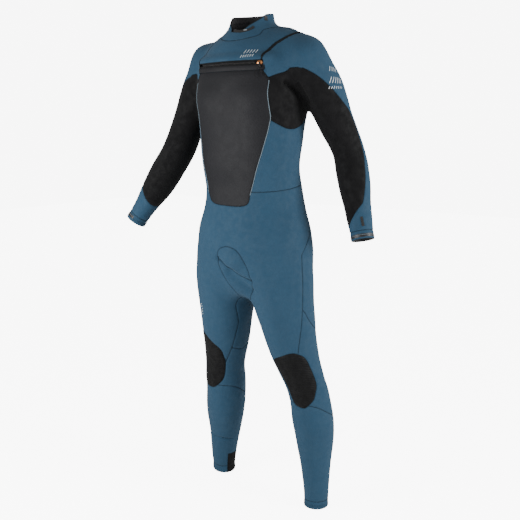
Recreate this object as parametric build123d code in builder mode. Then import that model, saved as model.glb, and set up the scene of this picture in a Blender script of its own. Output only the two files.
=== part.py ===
"""Full-length wetsuit with a chest zip, filled out as it is on a standing wearer.

The suit is one thin skin cut into sewn panels. The wearer faces -Y, the wearer's left is +X and up is +Z.
The neck yoke and its collar fold back over the shoulders, and the zip slider runs along the chest zip.
"""
import os
from math import asin, copysign, cos, degrees, pi, radians, sin
from build123d import *

os.makedirs("parts", exist_ok=True)

# Neoprene and seams
WALL = 4.0                 # thickness of the neoprene
FLAP_GAP = 2.2             # clear gap round the moving neck yoke
LINING = 1.2               # thickness of the collar's inner binding
LINING_DEPTH = 16.0
REACH = 400.0              # half-length of a cutter that passes right through the suit

# Chest zip: everything on it follows one arc about a vertical axis
ZIP_RADIUS = 330.0
ZIP_AXIS_Y = 217.0
ZIP_LEVEL = 1300.0
ZIP_GAP = 12.0             # height of the slot between the yoke and the zip facing
ZIP_RIGHT = -118.0         # ends of the slot, across the chest
ZIP_LEFT = 108.0
SLOT_RELIEF = 1.5          # the slot's extra height above the upper tape
FACING_DEPTH = 13.0
TAPE_THICKNESS = 1.0
TAPE_SET_BACK = 1.5        # from the arc in to the tape's outer face
TEETH_RIGHT = -99.0        # ends of the tooth rows, across the chest
TEETH_LEFT = 88.0
TOOTH_PITCH = 3.0
TOOTH_WIDTH = 1.2
TOOTH_HEIGHT = 3.0
TOOTH_DEPTH = 1.5
TOOTH_OVERLAP = 1.0
STOP_WIDTH = 2.8
STOP_DEPTH = 1.8
STOP_HALF_HEIGHT = 3.5
SLIDER_AT = 99.0           # where the closed slider stands, across the chest
SLIDER_LENGTH = 14.0
SLIDER_HALF_HEIGHT = 4.6
SLIDER_INSIDE = 3.0        # half-height of the channel that the teeth pass through
BAIL_OUT = 3.4             # from the arc out to the bail, on which the pull tab swings
BAIL_RADIUS = 0.8
PULL_TILT = 14.0           # the pull hangs this far off upright, in degrees, to lie clear of the chest
EYE_AT = -12.2             # the tab's eye, which the loop passes through, below the bail
FLAP_FOOT = 4.6            # the storm flap's foot, whose thickness sets how far the flap stands in
FLAP_SHEET = 1.6

# Hem bands, true circles that seal on the wrist and the ankle
WRIST_BAND = 23.0
ANKLE_BAND = 24.0

# Where the suit stands in its own frame: hems on z = 0, its box centred on the z axis
TO_ORIGIN = Location((25.5, -14.0, 14.0))

# Torso sections from crotch to rim: height, centre y, half-width, half-depth
TORSO = [
    (630, 12, 20, 34), (655, 12, 62, 66), (700, 12, 126, 100), (760, 12, 168, 120),
    (825, 12, 173, 124), (890, 12, 160, 118), (960, 6, 150.5, 107), (1030, -6, 150.5, 105),
    (1110, -4, 157.5, 112), (1180, 1, 164, 121), (1240, 2, 167, 123), (1300, 2, 160, 113),
    (1350, 5, 122, 94), (1390, 5, 84, 74), (1425, 3, 66, 62), (1460, 2, 62, 59),
]
SQUARENESS = 2.5           # exponent of the torso's rounded sections, where 2 is an ellipse

# Shoulder girdle, from the right shoulder to the left: centre x, y, z, half-depth, half-height
SHOULDERS = [
    (-168, 20, 1322, 62, 62), (-125, 18, 1324, 70, 72), (-70, 14, 1326, 76, 86), (0, 12, 1326, 78, 92),
    (70, 12, 1326, 76, 94), (125, 10, 1324, 70, 84), (174, 6, 1318, 62, 62),
]
SHOULDER_RADIUS = 66.0

# Limb sections: centre x, y, z, then the two half-widths
ARMS = {
    "left": [
        (174, 6, 1318, 64, 64), (189, 24, 1276, 62, 63), (205, 46, 1229, 57, 60), (228, 78, 1150, 50, 52),
        (253, 112, 1068, 45.5, 46), (277, 105, 990, 46, 46.5), (302, 90, 905, 37.5, 37.5),
        (320, 79, 845, 32.5, 32.5),
    ],
    "right": [
        (-168, 20, 1322, 64, 64), (-183, 9, 1279, 62, 63), (-200, -1, 1231, 58, 60),
        (-225, -18, 1150, 50, 52), (-253, -39, 1061, 45, 46), (-292, -57, 990, 46, 46.5),
        (-338, -80, 912, 37, 37), (-369, -95, 862, 32.5, 32.5),
    ],
}
LEGS = {
    "left": [
        (82, 10, 870, 66, 78), (89, 8, 800, 89, 98), (97, 10, 690, 90, 95), (110, 22, 580, 81.5, 84),
        (127, 38, 480, 70, 71), (147, 56, 390, 61, 61.5), (160, 68, 325, 61.5, 62), (170, 76, 250, 63, 63.5),
        (178, 79, 170, 54, 53), (184, 77, 90, 42, 41.5), (187, 74, 12, 37.5, 37.5),
    ],
    "right": [
        (-82, 10, 870, 66, 78), (-91, 8, 800, 89, 98), (-102, 8, 690, 90, 95), (-111, 18, 580, 81.5, 84),
        (-123, 28, 480, 70, 71), (-138, 41, 390, 60.5, 61), (-146, 50, 325, 61, 62), (-157, 62, 250, 61, 63),
        (-169, 75, 170, 52, 53), (-181, 84, 90, 42, 42.5), (-187, 89, 22, 37.5, 37.5),
    ],
}

# Seam lines in front view (x, z)
FLAP_LEFT = [(103, 1306), (105, 1325), (119, 1347), (144, 1364), (158, 1384), (166, 1400)]
FLAP_RIGHT = [(-92, 1400), (-96, 1376), (-107, 1352), (-116, 1328), (-118, 1306)]
CHEST_FOOT = [(-98, 950), (-74, 920), (-20, 913), (50, 917), (64, 950)]
CHEST_LEFT = [(103, 1065), (120, 1120), (127, 1155), (122, 1202), (118, 1233), (120, 1256), (104, 1281)]
CHEST_RIGHT = [(-112, 1281), (-120, 1256), (-119, 1233), (-123, 1202), (-128, 1155), (-124, 1120),
               (-110, 1038)]
GUSSET = [(62, 690), (50, 757), (28, 786), (-10, 796), (-40, 784), (-50, 757), (-58, 690)]
KNEE_PAD = {
    "left": [(84, 456), (168, 492), (197, 474), (207, 379), (204, 344),
             (184, 318), (152, 321), (134, 345), (112, 415)],
    "right": [(-94, 457), (-155, 492), (-185, 474), (-196, 379), (-194, 344),
              (-176, 320), (-140, 320), (-108, 350), (-92, 415)],
}
BACK_PANEL = [(118, 1361), (122, 1290), (118, 1200), (112, 1090), (96, 960),
              (-96, 960), (-112, 1090), (-118, 1200), (-122, 1290), (-92, 1361)]

# Seam lines in side view (y, z)
RIM = [(-100, 1372), (-68, 1393), (-54, 1413), (-14, 1437), (60, 1445), (110, 1446)]
COLLAR_SEAM = [(-110, 1350), (-79, 1367), (-56, 1378), (-36, 1394), (0, 1402), (60, 1404), (110, 1400)]
HIP_SEAM = [(-15, 250), (-15, 780), (20, 812), (64, 850), (64, 1000)]
HAMSTRING_SEAM = [(-40, 640), (-10, 617), (33, 567), (140, 505)]
CALF_SEAM = [(-80, 330), (10, 328), (75, 292), (160, 246)]
FOLD_LEVEL = 1362.0        # the line across the upper back where the yoke folds
FOLD_Y = 30.0              # behind this, the yoke ends at the fold line
SHOULDER_SEAM_Y = 8.0
ABOVE_COLLAR = 1500        # an outline's top edge here passes clear of the collar

# Underarm panel: how far its front seam stands off the arm's own centre line, in y, at each height
UNDERARM_OFFSET = [(1276, -62), (1254, -46), (1231, -34), (1206, -16), (1169, 10), (1124, 16), (1069, 0),
                   (1015, -10), (960, -18), (913, -28), (860, -32)]
UNDERARM_SIDE = [(-130, 1256), (-100, 1258), (-78, 1268), (-50, 1276), (40, 1290), (84, 1240), (70, 1180),
                 (25, 1140), (-14, 1126), (-45, 1127), (-66, 1136), (-84, 1145), (-110, 1148), (-130, 1148)]
CUFF_SEAM = [(285, 850), (345, 960)]      # in front view (x, z), mirrored on the right

# The panel's back seam runs down the inner arm: how far behind the centre line, and how far inward it starts
INNER_ARM_BACK = 34.0
INNER_ARM_SIDE = 8.0
INNER_ARM_HEIGHTS = (1200, 1150, 1068, 990, 905, 850)


def tube(sections, inset, x_dir=(1, 0, 0), run=None):
    """A closed limb through its sections, drawn in by inset; run fixes the way the sections face."""
    with BuildPart() as limb:
        for index, (x, y, z, half_x, half_y) in enumerate(sections):
            ahead = Vector(*sections[min(index + 1, len(sections) - 1)][:3])
            behind = Vector(*sections[max(index - 1, 0)][:3])
            facing = Vector(*run) if run else ahead - behind
            with BuildSketch(Plane(origin=(x, y, z), x_dir=x_dir, z_dir=facing)):
                if half_x == half_y:
                    Circle(half_x - inset)
                else:
                    Ellipse(half_x - inset, half_y - inset)
        loft()
    return limb.part


def trunk(inset, points=16):
    """The torso through rounded sections, elliptical at the crotch and the neck and squarer between."""
    crotch = TORSO[0][0]
    with BuildPart() as body:
        for height, centre_y, half_width, half_depth in TORSO:
            level = height + inset if height == crotch else height
            squarer = min(1, max(0, (height - 640) / 120)) * min(1, max(0, (1400 - height) / 90))
            power = 2 / (2 + (SQUARENESS - 2) * squarer)
            ring = []
            for step in range(points):
                turn = 2 * pi * (step + 0.5) / points
                across = (half_width - inset) * copysign(abs(cos(turn)) ** power, cos(turn))
                along = (half_depth - inset) * copysign(abs(sin(turn)) ** power, sin(turn))
                ring.append((across, along))
            with BuildSketch(Plane((0, centre_y, level))):
                with BuildLine():
                    Spline(*ring, periodic=True)
                make_face()
        loft()
    return body.part


def body_form(inset):
    """The whole wearer's form inside the hems, drawn in by inset."""
    with BuildPart() as form:
        add(trunk(inset))
        add(tube(SHOULDERS, inset, x_dir=(0, 1, 0), run=(1, 0, 0)))
        for side in ("left", "right"):
            add(tube(ARMS[side], inset))
            add(tube(LEGS[side], inset))
            with Locations(ARMS[side][0][:3]):
                Sphere(SHOULDER_RADIUS - inset)
    return form.part


def front_prism(outline, back, front, curved=()):
    """A block whose front view is outline, from y = back forward to y = front; curved points are splined."""
    with BuildPart() as block:
        with BuildSketch(Plane(origin=(0, back, 0), x_dir=(1, 0, 0), z_dir=(0, -1, 0))):
            with BuildLine():
                draw(outline, curved)
            make_face()
        extrude(amount=back - front)
    return block.part


def side_prism(outline, right, left, curved=()):
    """A block whose side view is outline, from x = right to x = left."""
    with BuildPart() as block:
        with BuildSketch(Plane(origin=(right, 0, 0), x_dir=(0, 1, 0), z_dir=(1, 0, 0))):
            with BuildLine():
                draw(outline, curved)
            make_face()
        extrude(amount=left - right)
    return block.part


def draw(outline, curved):
    """Draw a closed outline in the active sketch: a spline through curved, then straight edges."""
    if curved:
        Spline(*curved)
        Polyline(curved[-1], *outline, curved[0])
    else:
        Polyline(*outline, close=True)


def meet(shape, region):
    """The part of shape inside region."""
    with BuildPart() as kept:
        add(shape)
        add(region, mode=Mode.INTERSECT)
    return kept.part


def without(shape, region):
    """The part of shape outside region."""
    with BuildPart() as kept:
        add(shape)
        add(region, mode=Mode.SUBTRACT)
    return kept.part


def arc_block(radius_in, radius_out, x_from, x_to, low, high):
    """A block between two radii about the zip's axis, from x_from to x_to across the chest."""
    start = degrees(asin(x_from / ZIP_RADIUS)) - 90
    sweep = degrees(asin(x_to / ZIP_RADIUS) - asin(x_from / ZIP_RADIUS))
    with BuildPart() as block:
        with BuildSketch(Plane((0, ZIP_AXIS_Y, low))):
            with BuildLine():
                outer = CenterArc((0, 0), radius_out, start, sweep)
                inner = CenterArc((0, 0), radius_in, start, sweep)
                Line(outer @ 0, inner @ 0)
                Line(outer @ 1, inner @ 1)
            make_face()
        extrude(amount=high - low)
    return block.part


def finish(shape, name):
    """Label a finished piece and write it in the suit's own frame."""
    placed = shape.moved(TO_ORIGIN)
    placed.label = name
    export_step(placed, f"parts/{name}.step")
    print(f"{name:24s} {shape.volume / 1000:8.1f} cm3  solids {len(shape.solids())}  valid {shape.is_valid}")


# ---------------------------------------------------------------- the skin
skin = without(body_form(0), body_form(WALL))
above_rim = side_prism([(110, 1600), (-100, 1600)], -REACH, REACH, curved=RIM)
skin = without(skin, above_rim)

# ---------------------------------------------------------------- collar and neck yoke
collar_region = side_prism([(110, 1600), (-110, 1600)], -96, 96, curved=COLLAR_SEAM)
with BuildPart() as neck_column:
    with Locations((0, 2, 1400)):
        Cylinder(96, 300)
collar_region = meet(collar_region, neck_column.part)

with BuildPart() as neck_collar:
    add(skin)
    add(collar_region, mode=Mode.INTERSECT)
finish(neck_collar.part, "neck_collar")
skin = without(skin, collar_region)

lining_foot = [(y, z - LINING_DEPTH) for y, z in RIM]
lining_top = [(y, z - 1.5) for y, z in RIM]
lining_band = side_prism([(110, 1600), (-100, 1600)], -REACH, REACH, curved=lining_foot)
lining_band = without(lining_band, side_prism([(110, 1600), (-100, 1600)], -REACH, REACH, curved=lining_top))
with BuildPart() as collar_lining:
    add(trunk(WALL))
    add(trunk(WALL + LINING), mode=Mode.SUBTRACT)
    add(lining_band, mode=Mode.INTERSECT)
finish(collar_lining.part, "collar_lining")

above_flap = [(168, ABOVE_COLLAR), (-94, ABOVE_COLLAR)]
yoke_outline = FLAP_LEFT + above_flap + FLAP_RIGHT
fold_outline = [(-99, FOLD_LEVEL), (141, FOLD_LEVEL)] + FLAP_LEFT[4:] + above_flap + FLAP_RIGHT[:2]


def yoke_block(margin):
    """The block that holds the neck yoke: down to the zip in front, down to the fold line behind."""
    with BuildPart() as block:
        with BuildSketch(Plane(origin=(0, FOLD_Y, 0), x_dir=(1, 0, 0), z_dir=(0, -1, 0))):
            with BuildLine():
                Polyline(*yoke_outline, close=True)
            make_face()
            if margin:
                offset(amount=margin, kind=Kind.INTERSECTION)
        extrude(amount=REACH)
        with BuildSketch(Plane(origin=(0, FOLD_Y, 0), x_dir=(1, 0, 0), z_dir=(0, -1, 0))):
            with BuildLine():
                Polyline(*fold_outline, close=True)
            make_face()
            if margin:
                offset(amount=margin, kind=Kind.INTERSECTION)
        extrude(amount=-REACH)
    return block.part


yoke = meet(skin, yoke_block(0))
skin = without(skin, yoke_block(FLAP_GAP))
behind_seam = [(SHOULDER_SEAM_Y, 1200), (300, 1200), (300, 1600), (SHOULDER_SEAM_Y, 1600)]
shoulder_seam = side_prism(behind_seam, -REACH, REACH)
with BuildPart() as front_yoke:
    add(yoke)
    add(shoulder_seam, mode=Mode.SUBTRACT)
finish(front_yoke.part, "front_yoke")
with BuildPart() as back_yoke:
    add(yoke)
    add(shoulder_seam, mode=Mode.INTERSECT)
finish(back_yoke.part, "back_yoke")

# ---------------------------------------------------------------- chest zip
slot_low = ZIP_LEVEL - ZIP_GAP / 2
slot_high = ZIP_LEVEL + ZIP_GAP / 2
slot_roof = slot_high + SLOT_RELIEF
slot_corners = [(ZIP_RIGHT, slot_low), (ZIP_LEFT, slot_low), (ZIP_LEFT, slot_roof), (ZIP_RIGHT, slot_roof)]
slot = front_prism(slot_corners, -40, -REACH)
skin = without(skin, slot)

facing_low = slot_low - FACING_DEPTH
facing_right = ZIP_RIGHT - 4
facing_left = ZIP_LEFT + 4
facing_corners = [(facing_right, facing_low), (facing_left, facing_low), (facing_left, slot_low),
                  (facing_right, slot_low)]
facing_region = front_prism(facing_corners, -40, -REACH)
with BuildPart() as zip_facing:
    add(skin)
    add(facing_region, mode=Mode.INTERSECT)
finish(zip_facing.part, "zip_facing")
skin = without(skin, facing_region)

tape_out = ZIP_RADIUS - TAPE_SET_BACK
tape_in = tape_out - TAPE_THICKNESS
upper_tape = arc_block(tape_in, tape_out, -104, 90, ZIP_LEVEL + 0.8, slot_high - 0.1)
finish(upper_tape, "upper_zip_tape")
lower_tape = arc_block(tape_in, tape_out, ZIP_RIGHT + 3, ZIP_LEFT - 1, slot_low, ZIP_LEVEL - 0.8)
finish(lower_tape, "lower_zip_tape")


def tooth_row(first, last, low, shift):
    """One row of zip teeth standing on the tape's outer face, spaced evenly along the arc."""
    count = int((last - first) / TOOTH_PITCH)
    with BuildPart() as row:
        for number in range(count):
            at = asin((first + shift + number * TOOTH_PITCH) / ZIP_RADIUS)
            face = Vector(sin(at), -cos(at), 0)
            foot = Vector(0, ZIP_AXIS_Y, low + TOOTH_HEIGHT / 2) + face * tape_out
            with BuildSketch(Plane(origin=foot, x_dir=(cos(at), sin(at), 0), z_dir=face)):
                Rectangle(TOOTH_WIDTH, TOOTH_HEIGHT)
            extrude(amount=TOOTH_DEPTH)
    return row.part


upper_low = ZIP_LEVEL - TOOTH_OVERLAP / 2
lower_low = ZIP_LEVEL + TOOTH_OVERLAP / 2 - TOOTH_HEIGHT
upper_teeth = tooth_row(TEETH_RIGHT, TEETH_LEFT, upper_low, 0)
finish(upper_teeth, "upper_zip_teeth")
lower_teeth = tooth_row(TEETH_RIGHT, TEETH_LEFT, lower_low, TOOTH_PITCH / 2)
finish(lower_teeth, "lower_zip_teeth")

stop_low = ZIP_LEVEL - STOP_HALF_HEIGHT
stop_high = ZIP_LEVEL + STOP_HALF_HEIGHT
right_stop = (ZIP_RIGHT + 3 - STOP_WIDTH, ZIP_RIGHT + 3)
left_stop = (ZIP_LEFT - 1, ZIP_LEFT - 0.1)
with BuildPart() as end_stops:
    for from_x, to_x in (right_stop, left_stop):
        add(arc_block(tape_out, tape_out + STOP_DEPTH, from_x, to_x, stop_low, stop_high))
        add(arc_block(tape_in, tape_out, from_x, to_x, slot_low, stop_high))
finish(end_stops.part, "zip_end_stops")

# Slider: a channel over the teeth, with a bail in front that carries the pull tab
slider_right = SLIDER_AT - SLIDER_LENGTH / 2
slider_left = SLIDER_AT + SLIDER_LENGTH / 2
slider_low = ZIP_LEVEL - SLIDER_HALF_HEIGHT
slider_high = ZIP_LEVEL + SLIDER_HALF_HEIGHT
wall_in = tape_out + 0.35
plate_in = ZIP_RADIUS + 0.6
plate_out = ZIP_RADIUS + 1.8
bail_at = ZIP_RADIUS + BAIL_OUT
slider_turn = asin(SLIDER_AT / ZIP_RADIUS)
outward = Vector(sin(slider_turn), -cos(slider_turn), 0)
across = Vector(cos(slider_turn), sin(slider_turn), 0)


def on_slider(out, along, height):
    """A point given by its radius about the zip's axis, its place along the zip and its height."""
    return Vector(0, ZIP_AXIS_Y, height) + outward * out + across * along


with BuildPart() as zip_slider:
    add(arc_block(plate_in, plate_out, slider_right, slider_left, slider_low, slider_high))
    add(arc_block(wall_in, plate_in, slider_right, slider_left, ZIP_LEVEL + SLIDER_INSIDE, slider_high))
    add(arc_block(wall_in, plate_in, slider_right, slider_left, slider_low, ZIP_LEVEL - SLIDER_INSIDE))
    for along in (-4.2, 4.2):
        post_foot = on_slider(plate_out - 0.4, along, ZIP_LEVEL)
        with BuildSketch(Plane(origin=post_foot, x_dir=across, z_dir=outward)):
            Rectangle(2 * BAIL_RADIUS, 4 * BAIL_RADIUS)
        extrude(amount=2.8)
    with BuildSketch(Plane(origin=on_slider(bail_at, -5.0, ZIP_LEVEL), x_dir=(0, 0, 1), z_dir=across)):
        Circle(BAIL_RADIUS)
    extrude(amount=10)
finish(zip_slider.part, "zip_slider")

# Pull tab: a stiff tongue that hangs on the bail, and its webbing loop, both drawn in their tilted plane
bail = on_slider(bail_at, 0, ZIP_LEVEL)
pull_face = outward * cos(radians(PULL_TILT)) + Vector(0, 0, sin(radians(PULL_TILT)))
with BuildPart() as zip_pull_tab:
    with BuildSketch(Plane(origin=on_slider(bail_at, -3.0, ZIP_LEVEL), x_dir=outward, z_dir=across)):
        Circle(1.9)
        Circle(1.1, mode=Mode.SUBTRACT)
    extrude(amount=6)
    with BuildSketch(Plane(origin=bail - pull_face * 0.2, x_dir=across, z_dir=pull_face)):
        with Locations((0, -8.6)):
            SlotOverall(14.2, 6.0, rotation=90)
        with Locations((0, 1.0)):
            Rectangle(20, 5.2, mode=Mode.SUBTRACT)
        with Locations((0, EYE_AT)):
            Circle(1.5, mode=Mode.SUBTRACT)
    extrude(amount=1.6)
finish(zip_pull_tab.part, "zip_pull_tab")

with BuildPart() as zip_pull_loop:
    with BuildSketch(Plane(origin=bail + pull_face * 0.6, x_dir=across, z_dir=pull_face)):
        with Locations((-4, EYE_AT - 15.5)):
            Ellipse(8.5, 15.5)
            Ellipse(6.6, 13.4, mode=Mode.SUBTRACT)
    extrude(amount=1.1, both=True)
    add(zip_pull_tab.part, mode=Mode.SUBTRACT)
finish(zip_pull_loop.part, "zip_pull_loop")

# Storm flap behind the zip: a thick foot sewn to the chest side, and a thin sheet clear of the tapes
flap_foot_region = front_prism([(-100, 1258), (96, 1258), (96, 1280), (-100, 1280)], -40, -REACH)
flap_sheet_region = front_prism([(-100, 1270), (96, 1270), (84, 1340), (-84, 1340)], -40, -REACH)
flap_back = trunk(WALL + FLAP_FOOT)
with BuildPart() as zip_barrier:
    add(meet(without(trunk(WALL), flap_back), flap_foot_region))
    add(meet(without(trunk(WALL + FLAP_FOOT - FLAP_SHEET), flap_back), flap_sheet_region))
finish(zip_barrier.part, "zip_barrier")

# ---------------------------------------------------------------- chest and back panels
chest_region = front_prism(CHEST_LEFT + CHEST_RIGHT, -15, -REACH, curved=CHEST_FOOT)
with BuildPart() as chest_panel:
    add(skin)
    add(chest_region, mode=Mode.INTERSECT)
finish(chest_panel.part, "chest_panel")
skin = without(skin, chest_region)

back_region = front_prism(BACK_PANEL, REACH, 40)
with BuildPart() as back_panel:
    add(skin)
    add(back_region, mode=Mode.INTERSECT)
finish(back_panel.part, "back_panel")
skin = without(skin, back_region)


def arm_centre(side, height):
    """The x and y of the arm's centre line at a height, straight between its sections."""
    sections = ARMS[side]
    for upper, lower in zip(sections, sections[1:]):
        if upper[2] >= height >= lower[2]:
            share = (upper[2] - height) / (upper[2] - lower[2])
            return upper[0] + (lower[0] - upper[0]) * share, upper[1] + (lower[1] - upper[1]) * share
    return sections[-1][:2]


# ---------------------------------------------------------------- underarm panels, flanks and sleeves
waist_plane = [(-REACH, 893), (REACH, 1043), (REACH, 400), (-REACH, 400)]
for side, sign in (("left", 1), ("right", -1)):
    seam = [(arm_centre(side, height)[1] + stand_off, height) for height, stand_off in UNDERARM_OFFSET]
    inner_levels = [(arm_centre(side, height), height) for height in INNER_ARM_HEIGHTS]
    front_corners = [(seam[-1][0] - 70, 860), (-180, 1120), (-140, 1276)]
    arm_region = side_prism(front_corners, *sorted((sign * 168, sign * 600)), curved=seam)
    cuff_corners = [(sign * x, z) for x, z in CUFF_SEAM + [(600, 960), (600, 700), (285, 700)]]
    inner_edge = [(centre[0] - sign * INNER_ARM_SIDE, height) for centre, height in inner_levels]
    chest_edge = [(sign * 200, 850), (sign * 171, 1140), (sign * 171, 1200)]
    inner_front = front_prism(inner_edge + chest_edge, REACH, -REACH)
    inner_back = [(centre[1] + INNER_ARM_BACK, height) for centre, height in inner_levels]
    inner_side = side_prism(inner_back + [(-200, 850), (-200, 1200)], -REACH, REACH)
    cuff_region = front_prism(cuff_corners, REACH, -REACH)
    arm_region = without(arm_region + meet(inner_front, inner_side), cuff_region)
    side_region = side_prism(UNDERARM_SIDE, *sorted((sign * 112, sign * 176)))
    panel = meet(skin, arm_region)
    with BuildPart() as underarm_panel:
        add(panel)
        add(meet(skin, side_region))
    finish(underarm_panel.part, f"{side}_underarm_panel")
    skin = without(without(skin, arm_region), side_region)

    flank_corners = [(60, 860), (170, 860), (170, 1150), (60, 1150)]
    flank_region = front_prism([(sign * x, z) for x, z in flank_corners], REACH, -REACH)
    flank_region = without(flank_region, side_prism(waist_plane, -REACH, REACH))
    with BuildPart() as flank:
        add(skin)
        add(flank_region, mode=Mode.INTERSECT)
    finish(flank.part, f"{side}_flank_panel")
    skin = without(skin, flank_region)

    sleeve_corners = [(0, 1500), (0, 1150), (171, 1150), (171, 1000), (240, 780), (600, 780), (600, 1500)]
    sleeve_region = front_prism([(sign * x, z) for x, z in sleeve_corners], REACH, -REACH)
    with BuildPart() as sleeve:
        add(skin)
        add(sleeve_region, mode=Mode.INTERSECT)
    finish(sleeve.part, f"{side}_sleeve")
    skin = without(skin, sleeve_region)

# ---------------------------------------------------------------- gusset, knee pads and legs
gusset_region = front_prism([(20, 610), (-20, 610)], 76, -REACH, curved=GUSSET[::-1])
with BuildPart() as crotch_gusset:
    add(skin)
    add(gusset_region, mode=Mode.INTERSECT)
finish(crotch_gusset.part, "crotch_gusset")
skin = without(skin, gusset_region)

for side, sign in (("left", 1), ("right", -1)):
    knee_y = LEGS[side][5][1]
    pad_region = front_prism(KNEE_PAD[side], knee_y - 12, -REACH)
    with BuildPart() as knee_pad:
        add(skin)
        add(pad_region, mode=Mode.INTERSECT)
    finish(knee_pad.part, f"{side}_knee_pad")
    skin = without(skin, pad_region)

shin_region = side_prism([(160, -50), (-200, -50), (-200, 330)], -REACH, REACH, curved=CALF_SEAM)
shins = meet(skin, shin_region)
skin = without(skin, shin_region)
back_of_leg = side_prism(HIP_SEAM + [(REACH, 1000), (REACH, 250)], -REACH, REACH)
below_seat = side_prism([(140, 200), (-40, 200)], -REACH, REACH, curved=HAMSTRING_SEAM)
hamstring_region = meet(back_of_leg, below_seat)

for side, sign in (("left", 1), ("right", -1)):
    half = front_prism([(0, -50), (sign * REACH, -50), (sign * REACH, 1000), (0, 1000)], REACH, -REACH)
    with BuildPart() as hamstring_panel:
        add(skin)
        add(hamstring_region, mode=Mode.INTERSECT)
        add(half, mode=Mode.INTERSECT)
    finish(hamstring_panel.part, f"{side}_hamstring_panel")

    # The heel patch wraps the inner and back quarter of the ankle
    ankle = LEGS[side][-1]
    with BuildPart() as patch_block:
        with BuildSketch(Plane((ankle[0], ankle[1], ankle[2]))):
            with BuildLine():
                rays = [(radians(angle) if sign < 0 else pi - radians(angle)) for angle in (-20, 30, 80, 130)]
                Polyline((0, 0), *[(90 * cos(ray), 90 * sin(ray)) for ray in rays], close=True)
            make_face()
        extrude(amount=64 - ankle[2])
    with BuildPart() as heel_patch:
        add(shins)
        add(patch_block.part, mode=Mode.INTERSECT)
    finish(heel_patch.part, f"{side}_heel_patch")
    with BuildPart() as lower_leg:
        add(shins)
        add(half, mode=Mode.INTERSECT)
        add(patch_block.part, mode=Mode.SUBTRACT)
    finish(lower_leg.part, f"{side}_lower_leg")

skin = without(skin, hamstring_region)
with BuildPart() as seat_panel:
    add(skin)
    add(back_of_leg, mode=Mode.INTERSECT)
finish(seat_panel.part, "seat_panel")
with BuildPart() as front_body:
    add(skin)
    add(back_of_leg, mode=Mode.SUBTRACT)
finish(front_body.part, "front_body")

# ---------------------------------------------------------------- hem bands and wrist label
for limbs, name, length in ((ARMS, "wrist_band", WRIST_BAND), (LEGS, "ankle_band", ANKLE_BAND)):
    for side in ("left", "right"):
        x, y, z, radius, _ = limbs[side][-1]
        before = Vector(*limbs[side][-2][:3])
        with BuildPart() as band:
            with BuildSketch(Plane(origin=(x, y, z), x_dir=(1, 0, 0), z_dir=Vector(x, y, z) - before)):
                Circle(radius)
                Circle(radius - WALL, mode=Mode.SUBTRACT)
            extrude(amount=length)
        finish(band.part, f"{side}_{name}")

label_region = front_prism([(334, 858), (356, 858), (352, 892), (328, 892)], 84, 30)
with BuildPart() as wrist_label:
    add(tube(ARMS["left"], -0.6))
    add(tube(ARMS["left"], 0), mode=Mode.SUBTRACT)
    add(label_region, mode=Mode.INTERSECT)
finish(wrist_label.part, "left_wrist_label")
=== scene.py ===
"""The looks of the full wetsuit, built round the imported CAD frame.

The suit's outer skin is one smooth field, meshed once and then cut along its seams into panels, so that
neighbouring panels meet edge to edge. Shapes are worked out in millimetres on the wearer's axis, with the
wearer's left to +x and the front to -y, and placed in the frame in metres.
"""
from math import asin, cos, pi, radians, sin, tau

import bpy
import numpy as np
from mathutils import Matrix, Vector
from mathutils.kdtree import KDTree


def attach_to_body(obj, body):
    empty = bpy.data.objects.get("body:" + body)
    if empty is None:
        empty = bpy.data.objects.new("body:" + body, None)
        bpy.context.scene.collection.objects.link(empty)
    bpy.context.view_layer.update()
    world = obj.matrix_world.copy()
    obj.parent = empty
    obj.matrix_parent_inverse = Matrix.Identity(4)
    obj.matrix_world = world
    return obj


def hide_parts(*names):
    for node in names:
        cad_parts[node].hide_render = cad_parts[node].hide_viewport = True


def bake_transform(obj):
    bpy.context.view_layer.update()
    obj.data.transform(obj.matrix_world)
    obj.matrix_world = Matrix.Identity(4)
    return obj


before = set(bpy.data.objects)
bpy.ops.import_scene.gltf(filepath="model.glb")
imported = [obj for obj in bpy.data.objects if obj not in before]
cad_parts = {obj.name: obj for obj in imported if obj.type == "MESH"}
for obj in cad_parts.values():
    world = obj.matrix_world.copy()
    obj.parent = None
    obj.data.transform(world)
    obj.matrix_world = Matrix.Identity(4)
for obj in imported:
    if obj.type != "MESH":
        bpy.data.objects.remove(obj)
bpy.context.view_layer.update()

# The wearer's axis stands here in the frame, in millimetres
WEARER_AT = np.array([25.5, -14.0, 14.0])
GRID = 4.5      # spacing of the meshed skin
WALL = 3.6                             # thickness of the panels
GROOVE_WIDTH = 2.3                     # half-width of the dip along a seam
GROOVE_DEPTH = 1.3
SHARP_FROM = 48                        # edges that turn by more degrees than this stay sharp
REACH = 400.0                          # past the suit in every direction from its axis
FAR = 120.0                            # distances beyond this are not worked out
SIGN = {"left": 1, "right": -1}

# Torso sections from crotch to neck: height, centre y, half-width, half-depth
TORSO = [
    (600, 12, 60, 50), (655, 12, 105, 84), (700, 12, 146, 106), (760, 12, 168, 119), (825, 12, 168, 122),
    (890, 12, 154, 116), (960, 6, 146, 106), (1030, -6, 147, 105), (1110, -4, 154, 112),
    (1180, 1, 162, 121), (1240, 2, 167, 123), (1300, 2, 160, 113), (1345, 3, 128, 97), (1380, 3, 88, 78),
    (1410, 2, 67, 64), (1440, 0, 62, 60), (1500, -2, 60, 58),
]
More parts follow.
